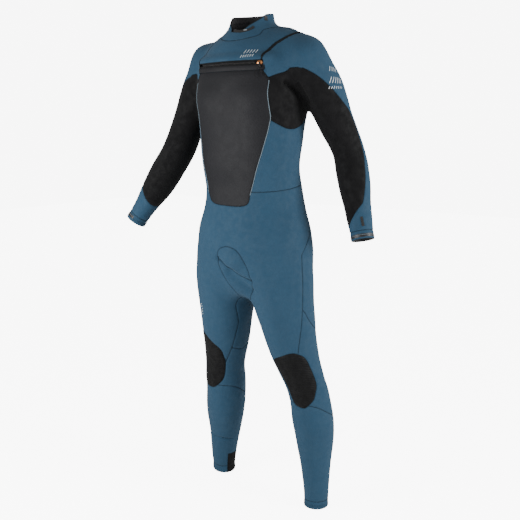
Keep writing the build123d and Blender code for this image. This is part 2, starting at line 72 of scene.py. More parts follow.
# Limb sections: centre x, y, z, radius
SHOULDERS = [(-166, 18, 1316, 54), (-125, 18, 1320, 60), (-85, 16, 1325, 67), (0, 12, 1326, 70),
             (85, 14, 1334, 70), (125, 10, 1326, 64), (174, 6, 1312, 56)]
ARMS = {
    "left": [(174, 6, 1312, 56), (191, 24, 1274, 60), (208, 46, 1229, 58), (229, 78, 1150, 50),
             (254, 112, 1068, 45), (276, 105, 990, 46), (302, 90, 905, 37.5), (320, 79, 845, 32.5),
             (326.5, 75.5, 822, 32.5), (336, 70, 790, 34)],
    "right": [(-166, 18, 1316, 54), (-180, 9, 1279, 56), (-197, -1, 1231, 55), (-222, -18, 1150, 50),
              (-252, -39, 1061, 48), (-292, -57, 990, 49), (-338, -80, 912, 37), (-369, -95, 862, 32.5),
              (-381, -101, 843, 32.5), (-400, -110, 812, 34)],
}
LEGS = {
    "left": [(82, 10, 870, 66), (90, 8, 800, 88), (98, 10, 690, 94), (110, 22, 580, 83), (127, 38, 480, 70.5),
             (150, 56, 390, 60), (165, 68, 325, 61), (174, 76, 250, 62), (179, 79, 170, 53.5),
             (184, 77, 90, 42), (187, 74, 12, 37.5), (188, 73, -12, 38), (189, 71, -50, 40)],
    "right": [(-82, 10, 870, 66), (-92, 8, 800, 88), (-103, 8, 690, 94), (-111, 18, 580, 83),
              (-123, 28, 480, 71), (-137, 41, 390, 62), (-144, 50, 325, 63.5), (-155, 62, 250, 63.5),
              (-168, 75, 170, 54), (-181, 84, 90, 44.5), (-187, 89, 22, 37.5), (-188, 90, -2, 38),
              (-189, 92, -50, 40)],
}
# Swells of the body under the suit: centre, radii, how softly it joins
SWELLS = [
    ((60, -64, 1206), (66, 52, 56), 26), ((-60, -64, 1206), (66, 52, 56), 26),
    ((60, 70, 806), (74, 62, 84), 36), ((-60, 70, 806), (74, 62, 84), 36),
    ((2, -86, 760), (46, 30, 36), 12),
]
# Creases in the cloth: points along each one, its depth and its half-width
CREASES = [
    ([(156, -62, 1249), (165, -38, 1232), (173, -16, 1212), (181, 5, 1184)], 12.0, 6.5),
    ([(178, -34, 1246), (184, -19, 1226), (190, 0, 1198)], 5.5, 6.0),
    ([(-158, -46, 1245), (-166, -34, 1228), (-172, -20, 1200), (-176, 0, 1170)], 6.0, 8.0),
    ([(-49, -105, 758), (-13, -111, 734), (22, -103, 712), (58, -90, 700)], 7.0, 8.0),
    ([(-8, -106, 716), (14, -100, 698), (34, -92, 684), (52, -80, 668)], 11.0, 15.0),
    ([(-208, 54, 141), (-192, 34, 135), (-170, 30, 130), (-146, 38, 126), (-132, 60, 122)], 8.0, 4.5),
    ([(-206, 70, 150), (-196, 50, 146), (-180, 44, 143)], 2.0, 4.0),
    ([(-120, 88, 405), (-138, 96, 398), (-156, 90, 402)], 4.0, 8.0),
    ([(128, 96, 402), (148, 110, 396), (170, 100, 402)], 4.0, 8.0),
    ([(216, 60, 1092), (224, 72, 1080), (238, 84, 1070)], 4.0, 7.0),
    ([(-214, -58, 1088), (-226, -72, 1076), (-240, -80, 1064)], 4.0, 7.0),
    ([(-262, -2, 1076), (-254, -6, 1064), (-240, -8, 1056)], 3.0, 7.0),
    ([(72, 112, 726), (92, 104, 716), (112, 96, 722)], 4.0, 9.0),
    ([(-72, 112, 726), (-94, 104, 716), (-114, 96, 722)], 4.0, 9.0),
]
# Slow unevenness of the cloth: direction of the wave, its length and height
RIPPLES = [((0.3, 0.2, 0.9), 150, 0.7), ((0.8, -0.4, 0.3), 95, 0.45), ((-0.5, 0.6, 0.6), 61, 0.3),
           ((0.2, 0.9, -0.4), 43, 0.15)]
# Hems: a point up the limb, the point where the hem's band starts and the band's length
HEMS = {
    "left_wrist": ((302, 90, 905), (320, 79, 845), 23),
    "left_ankle": ((184, 77, 90), (187, 74, 12), 24),
    "right_wrist": ((-338, -80, 912), (-369, -95, 862), 23),
    "right_ankle": ((-181, 84, 90), (-187, 89, 22), 24),
}

# Chest zip
ZIP_RADIUS = 330.0
ZIP_AXIS_Y = 217.0
ZIP_LEVEL = 1300.0
ZIP_GAP = 12.0
SLOT_TOP = 1.5                         # the slot is cut this much higher, under the yoke's free edge
ZIP_RIGHT = -118.0
ZIP_LEFT = 108.0
FACING_DEPTH = 13.0
FLAP_GAP = 2.2
LIP_RISE = 0.4                         # how far the cloth beside the zip stands outside the arc
FOLD_LEVEL = 1362.0
FOLD_Y = 30.0
SHOULDER_SEAM_Y = -4.0
TOOTH_PITCH = 3.0
TEETH_RIGHT, TEETH_LEFT = -99, 88
SLIDER_AT = 99.0
PULL_TILT = 14.0                       # the pull hangs this far off upright, in degrees
EYE_AT = -12.2                         # the tab's eye, below the bail
LINING_DEPTH = 16.0
FLAP_DEPTH = 4.6
PAD_RISE = 1.0
STRIP_SUNK = 0.6                       # how deep prints and labels reach into the skin

# Sewing: flatlock stitches along every seam
STITCH_STEP = 2.3
STITCH_HALF = 1.3
STITCH_LIFT = 0.45
THREAD = 0.32
SEAM_SHADE = 2.6                       # how far from a seam the cloth looks darker
SEAM_DARKNESS = 0.42

BLUE = (0.0175, 0.062, 0.112)
BLUE_LIGHT = (0.023, 0.074, 0.128)
SKY_LIGHT = 0.5
SKY_SEEN = 8.0
FLOOR_GLOW = 8.0

# Seam lines in front view (x, z)
FLAP_LEFT = [(103, 1306), (105, 1327), (120, 1352), (145, 1371), (165, 1386), (177, 1400)]
FLAP_RIGHT = [(-92, 1400), (-96, 1376), (-107, 1352), (-116, 1328), (-118, 1306)]
CHEST_FOOT = [(-98, 950), (-74, 920), (-20, 913), (50, 917), (64, 950)]
CHEST_LEFT = [(103, 1065), (118, 1115), (126, 1155), (124.5, 1190), (123, 1225), (125, 1254), (104, 1281)]
CHEST_RIGHT = [(-112, 1281), (-125, 1254), (-123, 1225), (-124.5, 1190), (-127, 1155), (-122, 1115),
               (-110, 1038)]
GUSSET = [(62, 690), (57, 730), (44, 765), (24, 788), (-8, 797), (-38, 787), (-50, 762), (-45, 734),
          (-31, 702), (-10, 668)]
GUSSET_CUP = [(-70, 764), (-49, 757), (-13, 735), (22, 714), (62, 700)]
KNEE_PAD = {
    "left": [(84, 456), (162, 494), (188, 479), (209, 386), (207, 344), (184, 316), (152, 321), (134, 345),
             (112, 415)],
    "right": [(-94, 459), (-150, 502), (-188, 512), (-196, 379), (-194, 344), (-176, 320), (-140, 320),
              (-108, 350), (-92, 415)],
}
BACK_PANEL = [(118, 1361), (122, 1290), (118, 1200), (112, 1090), (96, 960), (-96, 960), (-112, 1090),
              (-118, 1200), (-122, 1290), (-92, 1361)]
CUFF_SEAM = [(285, 850), (345, 960)]

# Seam lines in side view (y, z)
RIM = [(-100, 1374), (-70, 1389), (-62, 1398), (-50, 1410), (-23, 1429), (-9, 1437), (60, 1445), (110, 1446)]
COLLAR_SEAM = [(-110, 1350), (-79, 1367), (-56, 1378), (-36, 1394), (0, 1402), (60, 1404), (110, 1400)]
HIP_SEAM = [(-15, 250), (-15, 780), (20, 812), (64, 850), (64, 1000)]
HAMSTRING_SEAM = [(-40, 640), (-10, 617), (33, 567), (140, 505)]
CALF_SEAM = [(-80, 330), (10, 328), (75, 292), (160, 246)]
# How far in front of the arm's middle its front seam runs (height, y)
UNDERARM_OFFSET = [(1284, -64), (1263, -48), (1236, -34), (1206, -16), (1169, 10), (1124, 16), (1069, 0),
                   (1015, -10), (960, -18), (913, -28), (860, -32)]
UNDERARM_SIDE = [(-130, 1254), (-100, 1256), (-78, 1270), (-50, 1278), (40, 1290), (84, 1240), (70, 1180),
                 (25, 1140), (-14, 1126), (-45, 1127), (-66, 1136), (-84, 1148), (-100, 1166), (-130, 1180)]
HEEL_TOP = 64.0
# The underarm panel's back seam runs down the inner arm
INNER_ARM_BACK = 34.0
INNER_ARM_SIDE = 8.0
INNER_ARM_HEIGHTS = (1200, 1150, 1068, 990, 905, 850)


# ---------------------------------------------------------------- the field that gives the skin
def smooth_path(rows, count):
    """A smooth curve through rows, with count samples in each span."""
    rows = np.array(rows, float)
    padded = np.vstack([2 * rows[0] - rows[1], rows, 2 * rows[-1] - rows[-2]])
    t = (np.arange(count) / count)[:, None]
    spans = []
    for a, b, c, d in zip(padded, padded[1:], padded[2:], padded[3:]):
        spans.append(0.5 * (2 * b + (c - a) * t + (2 * a - 5 * b + 4 * c - d) * t ** 2
                            + (3 * b - a - 3 * c + d) * t ** 3))
    return np.vstack(spans + [rows[-1:]])


def unit(rows):
    """Directions of length 1."""
    return rows / np.linalg.norm(rows, axis=-1, keepdims=True).clip(1e-9)


def soft_min(a, b, k):
    """The smaller of two distances, blended over k so that their surfaces join in a fillet."""
    h = np.clip(0.5 + 0.5 * (b - a) / k, 0, 1)
    return b * (1 - h) + a * h - k * h * (1 - h)


def soft_max(a, b, k):
    return -soft_min(-a, -b, k)


def ramp(x, low, high):
    """0 below low, 1 above high and smooth between."""
    t = np.clip((x - low) / (high - low), 0, 1)
    return t * t * (3 - 2 * t)


torso_rings = smooth_path([(centre, a, b, z) for z, centre, a, b in TORSO], 8)


def torso(p):
    """Distance to the torso, whose sections are squarer than an ellipse between the crotch and the neck."""
    z = p[:, 2]
    centre, a, b = (np.interp(z, torso_rings[:, 3], torso_rings[:, i]) for i in range(3))
    power = 2 + 0.5 * np.clip((z - 640) / 120, 0, 1) * np.clip((1400 - z) / 90, 0, 1)
    u = np.abs(p[:, 0]) / a + 1e-6
    v = np.abs(p[:, 1] - centre) / b + 1e-6
    level = (u ** power + v ** power) ** (1 / power)
    slope = np.hypot(u ** (power - 1) / a, v ** (power - 1) / b) * level ** (1 - power)
    return np.minimum(soft_max((level - 1) / slope, 640 - z, 30), FAR)


def swept(p, sections):
    """Distance to a limb of round sections along a smooth centre line."""
    path = smooth_path(sections, 12)
    margin = path[:, 3].max() + 60
    near = ((p > path[:, :3].min(0) - margin) & (p < path[:, :3].max(0) + margin)).all(1)
    q = p[near].astype(np.float32)
    best = np.full(len(q), FAR, np.float32)
    for x, y, z, radius in path.astype(np.float32):
        reach = np.sqrt((q[:, 0] - x) ** 2 + (q[:, 1] - y) ** 2 + (q[:, 2] - z) ** 2) - radius
        np.minimum(best, reach, out=best)
    out = np.full(len(p), FAR)
    out[near] = best
    return out


def swell(p, centre, radii):
    """Distance to an ellipsoid."""
    q = (p - np.array(centre)) / np.array(radii)
    level = np.linalg.norm(q, axis=1) + 1e-6
    return (level - 1) * level / np.linalg.norm(q / np.array(radii), axis=1).clip(1e-6)


def field(p):
    """Signed distance, in millimetres, from the suit's outer skin: negative inside."""
    d = soft_min(torso(p), swept(p, SHOULDERS), 34)
    for centre, radii, softness in SWELLS:
        d = soft_min(d, swell(p, centre, radii), softness)
    for side in ("left", "right"):
        d = soft_min(d, swept(p, ARMS[side]), 25)
        d = soft_min(d, swept(p, LEGS[side]), 30)
    return d


def slope_of(value, p, step):
    """How a value on the points changes along x, y and z."""
    return np.stack([(value(p + shift) - value(p - shift)) / (2 * step) for shift in np.eye(3) * step], 1)


def field_slope(p):
    return slope_of(field, p, 0.5)


def onto_skin(p, rounds=2):
    """Points moved to the nearest place on the skin."""
    for _ in range(rounds):
        slope = field_slope(p)
        move = field(p) / (slope ** 2).sum(1).clip(0.05)
        p = p - move.clip(-8, 8)[:, None] * slope
    return p


def crease(p):
    """How far each point is pushed in by the creases and ripples of the cloth."""
    depth = np.zeros(len(p))
    for spine, deep, half_width in CREASES:
        path = smooth_path(spine, 6)
        near = np.full(len(p), np.inf)
        for spot in path:
            near = np.minimum(near, ((p - spot) ** 2).sum(1))
        depth += deep * np.exp(-near / half_width ** 2)
    for direction, length, height in RIPPLES:
        depth += height * np.sin(p @ np.array(direction) * tau / length + length)
    return depth


def lift_to_zip(p):
    """The cloth round the slot is drawn out, or in, to lie along the zip's arc."""
    radius = np.hypot(p[:, 0], p[:, 1] - ZIP_AXIS_Y)
    share = 1 - ramp(np.abs(p[:, 2] - ZIP_LEVEL), 10, 34)
    share *= 1 - ramp(np.abs(p[:, 0] - (ZIP_LEFT + ZIP_RIGHT) / 2), 112, 138)
    share *= p[:, 1] < 0
    out = np.stack([p[:, 0], p[:, 1] - ZIP_AXIS_Y, np.zeros(len(p))], 1) / radius[:, None]
    return out * (share * (ZIP_RADIUS + LIP_RISE - radius))[:, None]


# ---------------------------------------------------------------- meshing the field
def mesh_field(low, high, spacing):
    """Quads on the field's zero level, one corner for each grid cell that the skin passes through."""
    low = np.array(low, float)
    size = np.ceil((np.array(high) - low) / spacing).astype(int) + 1
    axes = [low[i] + spacing * np.arange(size[i]) for i in range(3)]
    values = np.empty(size, np.float32)
    yy, zz = np.meshgrid(axes[1], axes[2], indexing="ij")
    for i, x in enumerate(axes[0]):
        values[i] = field(np.stack([np.full(yy.size, x), yy.ravel(), zz.ravel()], 1)).reshape(yy.shape)
    inside = values < 0
    cells = tuple(size - 1)
    total = np.zeros(cells + (3,), np.float32)
    count = np.zeros(cells, np.int8)
    for axis in range(3):
        a, b = [i for i in range(3) if i != axis]
        for off_a in (0, 1):
            for off_b in (0, 1):
                near = [slice(0, -1)] * 3
                near[a] = slice(off_a, size[a] - 1 + off_a)
                near[b] = slice(off_b, size[b] - 1 + off_b)
                far = list(near)
                far[axis] = slice(1, size[axis])
                v0, v1 = values[tuple(near)], values[tuple(far)]
                crossed = (v0 < 0) != (v1 < 0)
                share = np.where(crossed, v0 / np.where(crossed, v0 - v1, 1), 0)
                total[..., axis] += share
                total[..., a] += off_a * crossed
                total[..., b] += off_b * crossed
                count += crossed
    used = np.argwhere(count > 0)
    index = np.full(cells, -1)
    index[tuple(used.T)] = np.arange(len(used))
    points = low + spacing * (used + total[tuple(used.T)] / count[tuple(used.T)][:, None])
    quads = []
    for axis in range(3):
        a, b = [i for i in range(3) if i != axis]
        near = [slice(1, -1)] * 3
        near[axis] = slice(0, -1)
        far = list(near)
        far[axis] = slice(1, None)
        starts, ends = inside[tuple(near)], inside[tuple(far)]
        for leaving, mask in ((True, starts & ~ends), (False, ~starts & ends)):
            base = np.argwhere(mask)
            base[:, a] += 1
            base[:, b] += 1
            corners = []
            for step_a, step_b in ((1, 1), (0, 1), (0, 0), (1, 0)):
                cell = base.copy()
                cell[:, a] -= step_a
                cell[:, b] -= step_b
                corners.append(index[tuple(cell.T)])
            quad = np.stack(corners, 1)
            quads.append(quad if leaving == (axis != 1) else quad[:, ::-1])
    return points, np.vstack(quads)


def sides_of(faces):
    """The directed sides of every face."""
    return np.vstack([faces[:, [i, (i + 1) % faces.shape[1]]] for i in range(faces.shape[1])])


def edges_of(faces):
    """Every edge of the faces once."""
    return np.unique(np.sort(sides_of(faces), 1), axis=0)


def relax(values, edges, rounds):
    """Values on the corners, evened out between neighbours."""
    for _ in range(rounds):
        total = np.zeros_like(values)
        count = np.zeros(len(values))
        for a, b in ((0, 1), (1, 0)):
            np.add.at(total, edges[:, a], values[edges[:, b]])
            np.add.at(count, edges[:, a], 1)
        values = 0.5 * values + 0.5 * total / count.clip(1)[:, None]
    return values


def normals_of(points, faces):
    """The outward direction at each corner."""
    a, b, c = (points[faces[:, i]] for i in range(3))
    across = np.cross(b - a, c - a)
    out = np.zeros_like(points)
    for i in range(3):
        np.add.at(out, faces[:, i], across)
    return unit(out)


# ---------------------------------------------------------------- seam regions
def outline(corners, curved=()):
    """A closed outline: a smooth curve through curved, then straight edges through corners."""
    points = list(smooth_path(curved, 12)) if len(curved) else []
    return np.array(points + [np.array(c, float) for c in corners])


def rounded(corners, rounds=3, share=0.22):
    """A closed outline with its corners cut back until they are round."""
    points = np.array(corners, float)
    for _ in range(rounds):
        after = np.roll(points, -1, 0)
        cut = share * (after - points)
        points = np.stack([points + cut, after - cut], 1).reshape(-1, 2)
    return points


def outline_distance(points, corners):
    """Signed distance in the plane to a closed outline, negative inside."""
    best = np.full(len(points), np.inf)
    inside = np.zeros(len(points), bool)
    for a, b in zip(corners, np.roll(corners, -1, 0)):
        run = b - a
        along = np.clip(((points - a) @ run) / max(run @ run, 1e-9), 0, 1)
        best = np.minimum(best, ((points - a - along[:, None] * run) ** 2).sum(1))
        crosses = (a[1] > points[:, 1]) != (b[1] > points[:, 1])
        rise = run[1] if abs(run[1]) > 1e-9 else 1e-9
        inside ^= crosses & (points[:, 0] < a[0] + (points[:, 1] - a[1]) * run[0] / rise)
    return np.where(inside, -1, 1) * np.sqrt(best)


def prism(corners, axis, low, high):
    """A region outlined as seen along an axis, 0 from the side or 1 from the front, low to high."""
    corners = np.array(corners, float)

    def distance(p):
        beyond = np.maximum(p[:, axis] - high, low - p[:, axis])
        return np.maximum(outline_distance(p[:, [1 - axis, 2]], corners), beyond)
    return distance


def front_prism(corners, back=REACH, front=-REACH):
    """A region with its outline (x, z) in front view, from y = back forward to y = front."""
    return prism(corners, 1, front, back)


def side_prism(corners, right=-REACH, left=REACH):
    """A region with its outline (y, z) in side view, from x = right to x = left."""
    return prism(corners, 0, right, left)


def yoke_region(p):
    """The neck yoke: down to the zip in front, and past the fold line behind, where the cloth bends."""
    foot = FOLD_LEVEL - FLAP_GAP
    above = [(168, 1500), (-94, 1500)]
    yoke_outline = outline(FLAP_LEFT + above + FLAP_RIGHT)
    fold_outline = outline([(-99, foot), (140, foot)] + FLAP_LEFT[4:] + above + FLAP_RIGHT[:2])
    flat = p[:, [0, 2]]
    front = np.maximum(outline_distance(flat, yoke_outline), p[:, 1] - FOLD_Y)
    back = np.maximum(outline_distance(flat, fold_outline), FOLD_Y - p[:, 1])
    return np.minimum(front, back)


def arm_centre(side, height):
    """The x and y of the arm's centre line at a height, straight between its sections."""
    sections = np.array(ARMS[side])[::-1]
    return [float(np.interp(height, sections[:, 2], sections[:, i])) for i in (0, 1)]


def underarm_region(side):
    """The chest side, the front of the arm and its inner side, down to the cuff."""
    sign = SIGN[side]
    seam = [(arm_centre(side, height)[1] + stand_off, height) for height, stand_off in UNDERARM_OFFSET]
    arm_corners = outline([(seam[-1][0] - 70, 860), (-180, 1120), (-140, 1276)], seam)
    arm = side_prism(arm_corners, *sorted((sign * 168, sign * 600)))
    middles = [(*arm_centre(side, height), height) for height in INNER_ARM_HEIGHTS]
    inner_edge = [(x - sign * INNER_ARM_SIDE, height) for x, _, height in middles]
    inner_front = front_prism(inner_edge + [(sign * 200, 850), (sign * 171, 1140), (sign * 171, 1200)])
    inner_back = [(y + INNER_ARM_BACK, height) for _, y, height in middles]
    inner_side = side_prism(inner_back + [(-200, 850), (-200, 1200)])
    cuff = front_prism([(sign * x, z) for x, z in CUFF_SEAM + [(600, 960), (600, 700), (285, 700)]])
    chest_side = side_prism(rounded(UNDERARM_SIDE, 2), *sorted((sign * 112, sign * 178)))

    def distance(p):
        clear_of_hip = 176 + 0.3 * (1140 - p[:, 2]) - sign * p[:, 0]
        on_arm = np.maximum(arm(p), np.where(p[:, 2] < 1140, clear_of_hip, -FAR))
        on_inner = np.maximum(inner_front(p), inner_side(p))
        whole_arm = np.maximum(soft_min(on_arm, on_inner, 10), -cuff(p))
        return soft_min(whole_arm, chest_side(p), 22)
    return distance


def flank_region(side):
    """The side of the body from the armpit down to the waist seam."""
    sign = SIGN[side]
    corners = [(sign * x, z) for x, z in ((60, 860), (170, 860), (170, 1150), (60, 1150))]
    block = front_prism(corners)
    below_waist = side_prism([(-REACH, 920), (REACH, 1008), (REACH, 400), (-REACH, 400)])
    return lambda p: np.maximum(block(p), -below_waist(p))


def sleeve_region(side):
    """The shoulder and arm outside the chest side."""
    sign = SIGN[side]
    corners = ((0, 1500), (0, 1150), (171, 1150), (171, 1000), (240, 780), (600, 780), (600, 1500))
    return front_prism([(sign * x, z) for x, z in corners])


def half(side):
    return lambda p: -SIGN[side] * p[:, 0]


def heel_region(side):
    """The inner and back quarter of the ankle."""
    sign = SIGN[side]
    x, y, _, _ = LEGS[side][-3]
    rays = [radians(angle) for angle in (-34, 20, 75, 130)]
    corners = np.array([(x, y)] + [(x - sign * 90 * cos(ray), y + 90 * sin(ray)) for ray in rays])
    return lambda p: np.maximum(outline_distance(p[:, :2], corners), p[:, 2] - HEEL_TOP)


# ---------------------------------------------------------------- cutting
class Skin:
    """The meshed skin, whose triangles each carry the name of their panel."""

    def __init__(self, points, faces):
        self.points = points
        self.faces = faces
        self.names = ["skin"]
        self.labels = np.zeros(len(faces), int)
        self.held = np.zeros(len(points), bool)

    def number(self, name):
        """The number of a panel's name, new if need be."""
        if name not in self.names:
            self.names.append(name)
        return self.names.index(name)

    def cut(self, region, source, inside, snap=0.33):
        """Split the source panel along a region's edge and give its inside a new name."""
        mask = self.labels == self.number(source)
        used = np.unique(self.faces[mask])
        values = np.zeros(len(self.points))
        values[used] = region(self.points[used])
        close = used[(np.abs(values[used]) < snap * GRID) & ~self.held[used]]
        if len(close):
            slope = self.slide(region, close)
            ahead = (slope ** 2).sum(1)
            free = ahead > 0.2
            move = values[close][free] / ahead[free]
            ok = np.abs(move) < 0.6 * GRID
            rows = close[free][ok]
            self.points[rows] -= move[ok][:, None] * slope[free][ok]
            values[rows] = 0
        values[used[np.abs(values[used]) < 0.02]] = 0
        edges = edges_of(self.faces[mask])
        crossed = edges[values[edges[:, 0]] * values[edges[:, 1]] < 0]
        share = values[crossed[:, 0]] / (values[crossed[:, 0]] - values[crossed[:, 1]])
        start, end = (self.points[crossed[:, i]] for i in (0, 1))
        fresh = start * (1 - share)[:, None] + end * share[:, None]
        first = len(self.points)
        self.points = np.vstack([self.points, fresh])
        self.held = np.append(self.held, np.ones(len(fresh), bool))
        self.held[used[values[used] == 0]] = True
        values = np.append(values, np.zeros(len(fresh)))
        self.split(crossed, first)
        rows = np.flatnonzero(self.labels == self.number(source))
        middle = values[self.faces[rows]].sum(1)
        flat = rows[middle == 0]
        middle[middle == 0] = region(self.points[self.faces[flat]].mean(1)) if len(flat) else 0
        self.labels[rows[middle < 0]] = self.number(inside)

    def slide(self, region, rows):
        """The region's slope along the skin at some corners."""
        at = self.points[rows]
        slope = slope_of(region, at, 0.4)
        out = unit(field_slope(at))
        return slope - (slope * out).sum(1)[:, None] * out

    def split(self, crossed, first):
        """Split every triangle that holds a crossed edge, so that neighbours still match."""
        if not len(crossed):
            return
        size = len(self.points)
        keys = crossed[:, 0] * size + crossed[:, 1]
        order = np.argsort(keys)
        keys = keys[order]
        middle = np.full(self.faces.shape, -1)
        for i in range(3):
            pair = np.sort(self.faces[:, [i, (i + 1) % 3]], 1)
            key = pair[:, 0] * size + pair[:, 1]
            at = np.searchsorted(keys, key).clip(0, len(keys) - 1)
            hit = keys[at] == key
            middle[hit, i] = first + order[at[hit]]
        count = (middle >= 0).sum(1)
        faces, labels = [self.faces[count == 0]], [self.labels[count == 0]]
        for i in range(3):
            j, k = (i + 1) % 3, (i + 2) % 3
            one = (count == 1) & (middle[:, i] >= 0)
            f, m = self.faces[one], middle[one, i]
            faces += [np.stack([f[:, i], m, f[:, k]], 1), np.stack([m, f[:, j], f[:, k]], 1)]
            labels += [self.labels[one]] * 2
            two = (count == 2) & (middle[:, i] < 0)
            f, m, n = self.faces[two], middle[two, j], middle[two, k]
            faces += [np.stack([f[:, i], f[:, j], m], 1), np.stack([f[:, i], m, n], 1),
                      np.stack([n, m, f[:, k]], 1)]
            labels += [self.labels[two]] * 3
        every = count == 3
        f, m = self.faces[every], middle[every]
        faces += [np.stack([f[:, 0], m[:, 0], m[:, 2]], 1), np.stack([m[:, 0], f[:, 1], m[:, 1]], 1),
                  np.stack([m[:, 2], m[:, 1], f[:, 2]], 1), m]
        labels += [self.labels[every]] * 4
        self.faces, self.labels = np.vstack(faces), np.concatenate(labels)

    def drop(self, name):
        """Leave a panel out of the skin."""
        keep = self.labels != self.number(name)
        self.faces, self.labels = self.faces[keep], self.labels[keep]

    def seam_edges(self):
        """Every edge between two panels or on a free edge, with its two panel numbers; -1 is no panel."""
        sides = sides_of(self.faces)
        labels = np.tile(self.labels, 3)
        pairs = np.sort(sides, 1)
        order = np.lexsort((labels, pairs[:, 1], pairs[:, 0]))
        pairs, labels = pairs[order], labels[order]
        same = (pairs[1:] == pairs[:-1]).all(1)
        both = np.flatnonzero(same)
        seams = both[labels[both] != labels[both + 1]]
        alone = np.ones(len(pairs), bool)
        alone[both] = False
        alone[both + 1] = False
        single = np.flatnonzero(alone)
        found = np.vstack([pairs[seams], pairs[single]])
        kinds = np.vstack([np.stack([labels[seams], labels[seams + 1]], 1),
                           np.stack([np.full(len(single), -1), labels[single]], 1)])
        return found, kinds


# ---------------------------------------------------------------- building the skin
def hem_run(hem):
    """Where a hem's band starts, its direction down the limb and its length."""
    before, end, length = HEMS[hem]
    end = np.array(end, float)
    return end, unit(end - before), length


points, quads = mesh_field((-440, -200, -60), (400, 200, 1500), GRID)
points = onto_skin(relax(points, edges_of(quads), 3))
points = points + lift_to_zip(points)
points = points - normals_of(points, quads[:, :3]) * crease(points)[:, None]
skin = Skin(points, np.vstack([quads[:, [0, 1, 2]], quads[:, [0, 2, 3]]]))

skin.cut(side_prism(outline([(110, 1600), (-100, 1600)], RIM)), "skin", "waste")
for hem in HEMS:
    end, run, length = hem_run(hem)

    def band(p, run=run, end=end):
        return np.maximum(-(p - end) @ run, np.linalg.norm(p - end, axis=1) - 110)

    def past_hem(p, run=run, end=end, length=length):
        return length - (p - end) @ run
    skin.cut(band, "skin", f"{hem}_band")
    skin.cut(past_hem, f"{hem}_band", "waste")
skin.drop("waste")

above_collar = side_prism(outline([(110, 1600), (-110, 1600)], COLLAR_SEAM), -96, 96)
skin.cut(lambda p: np.maximum(above_collar(p), np.hypot(p[:, 0], p[:, 1] - 2) - 96), "skin", "neck_collar")
skin.cut(yoke_region, "skin", "front_yoke")
skin.cut(lambda p: SHOULDER_SEAM_Y - p[:, 1], "front_yoke", "back_yoke")


def open_gap(p):
    """The gap round the yoke's free edge, closed along the fold line behind."""
    along_fold = np.maximum(p[:, 2] - FOLD_LEVEL - 1, FOLD_Y - p[:, 1])
    return np.maximum(yoke_region(p) - FLAP_GAP, -along_fold)


skin.cut(open_gap, "skin", "gap")
skin.drop("gap")

slot_low = ZIP_LEVEL - ZIP_GAP / 2
slot_high = ZIP_LEVEL + ZIP_GAP / 2


def chest_strip(low, high, past_end):
    """A level strip across the chest, past the zip at both ends."""
    right, left = ZIP_RIGHT - past_end, ZIP_LEFT + past_end
    return front_prism([(right, low), (left, low), (left, high), (right, high)], -40)


skin.cut(chest_strip(slot_low, slot_high + SLOT_TOP, 0), "skin", "gap")
skin.drop("gap")
skin.cut(chest_strip(slot_low - FACING_DEPTH, slot_low, 4), "skin", "zip_facing")
skin.cut(front_prism(outline(CHEST_LEFT + CHEST_RIGHT, CHEST_FOOT), -15), "skin", "chest_panel")
skin.cut(front_prism(BACK_PANEL, REACH, 40), "skin", "back_panel")
for side in ("left", "right"):
    skin.cut(underarm_region(side), "skin", f"{side}_underarm_panel")
    skin.cut(flank_region(side), "skin", f"{side}_flank_panel")
    skin.cut(sleeve_region(side), "skin", f"{side}_sleeve")
skin.cut(front_prism(outline([(40, 640), (0, 640)], GUSSET[::-1]), 76), "skin", "crotch_gusset")
gusset_cup = front_prism(outline([(70, 820), (-70, 820)], GUSSET_CUP), 0)
skin.cut(gusset_cup, "crotch_gusset", "crotch_gusset_cup")
for side in ("left", "right"):
    knee_y = LEGS[side][5][1]
    skin.cut(front_prism(rounded(KNEE_PAD[side], 3, 0.16), knee_y - 12), "skin", f"{side}_knee_pad")
skin.cut(side_prism(outline([(160, -50), (-200, -50), (-200, 330)], CALF_SEAM)), "skin", "shins")
back_of_leg = side_prism(outline(HIP_SEAM + [(REACH, 1000), (REACH, 250)]))
above_hamstring = side_prism(outline([(140, 0), (-40, 0)], HAMSTRING_SEAM))


def leg_back(p):
    """The back of the hips and thighs, whose seam runs forward into the crotch along the inner thigh."""
    forward = 30 * ramp(p[:, 2], 540, 610) * (1 - ramp(np.abs(p[:, 0]), 22, 58))
    forward *= 1 - 0.7 * ramp(p[:, 2], 600, 660)
    return back_of_leg(p + forward[:, None] * (0, 1, 0))


def hamstring(p):
    """The back of the thigh above the knee; its top seam is lower on the inner side."""
    drop = (155 - 1.1 * (p[:, 1] + 10).clip(0, 70)) * (1 - ramp(np.abs(p[:, 0]), 80, 150))
    return above_hamstring(p + drop[:, None] * (0, 0, 1))


skin.cut(leg_back, "skin", "seat_panel")
skin.cut(hamstring, "seat_panel", "hamstrings")
for side in ("left", "right"):
    skin.cut(half(side), "hamstrings", f"{side}_hamstring_panel")
    skin.cut(half(side), "shins", f"{side}_lower_leg")
    skin.cut(heel_region(side), f"{side}_lower_leg", f"{side}_heel_patch")
    skin.cut(heel_region(side), f"{side}_ankle_band", f"{side}_ankle_band_back")
skin.names[skin.names.index("skin")] = "front_body"


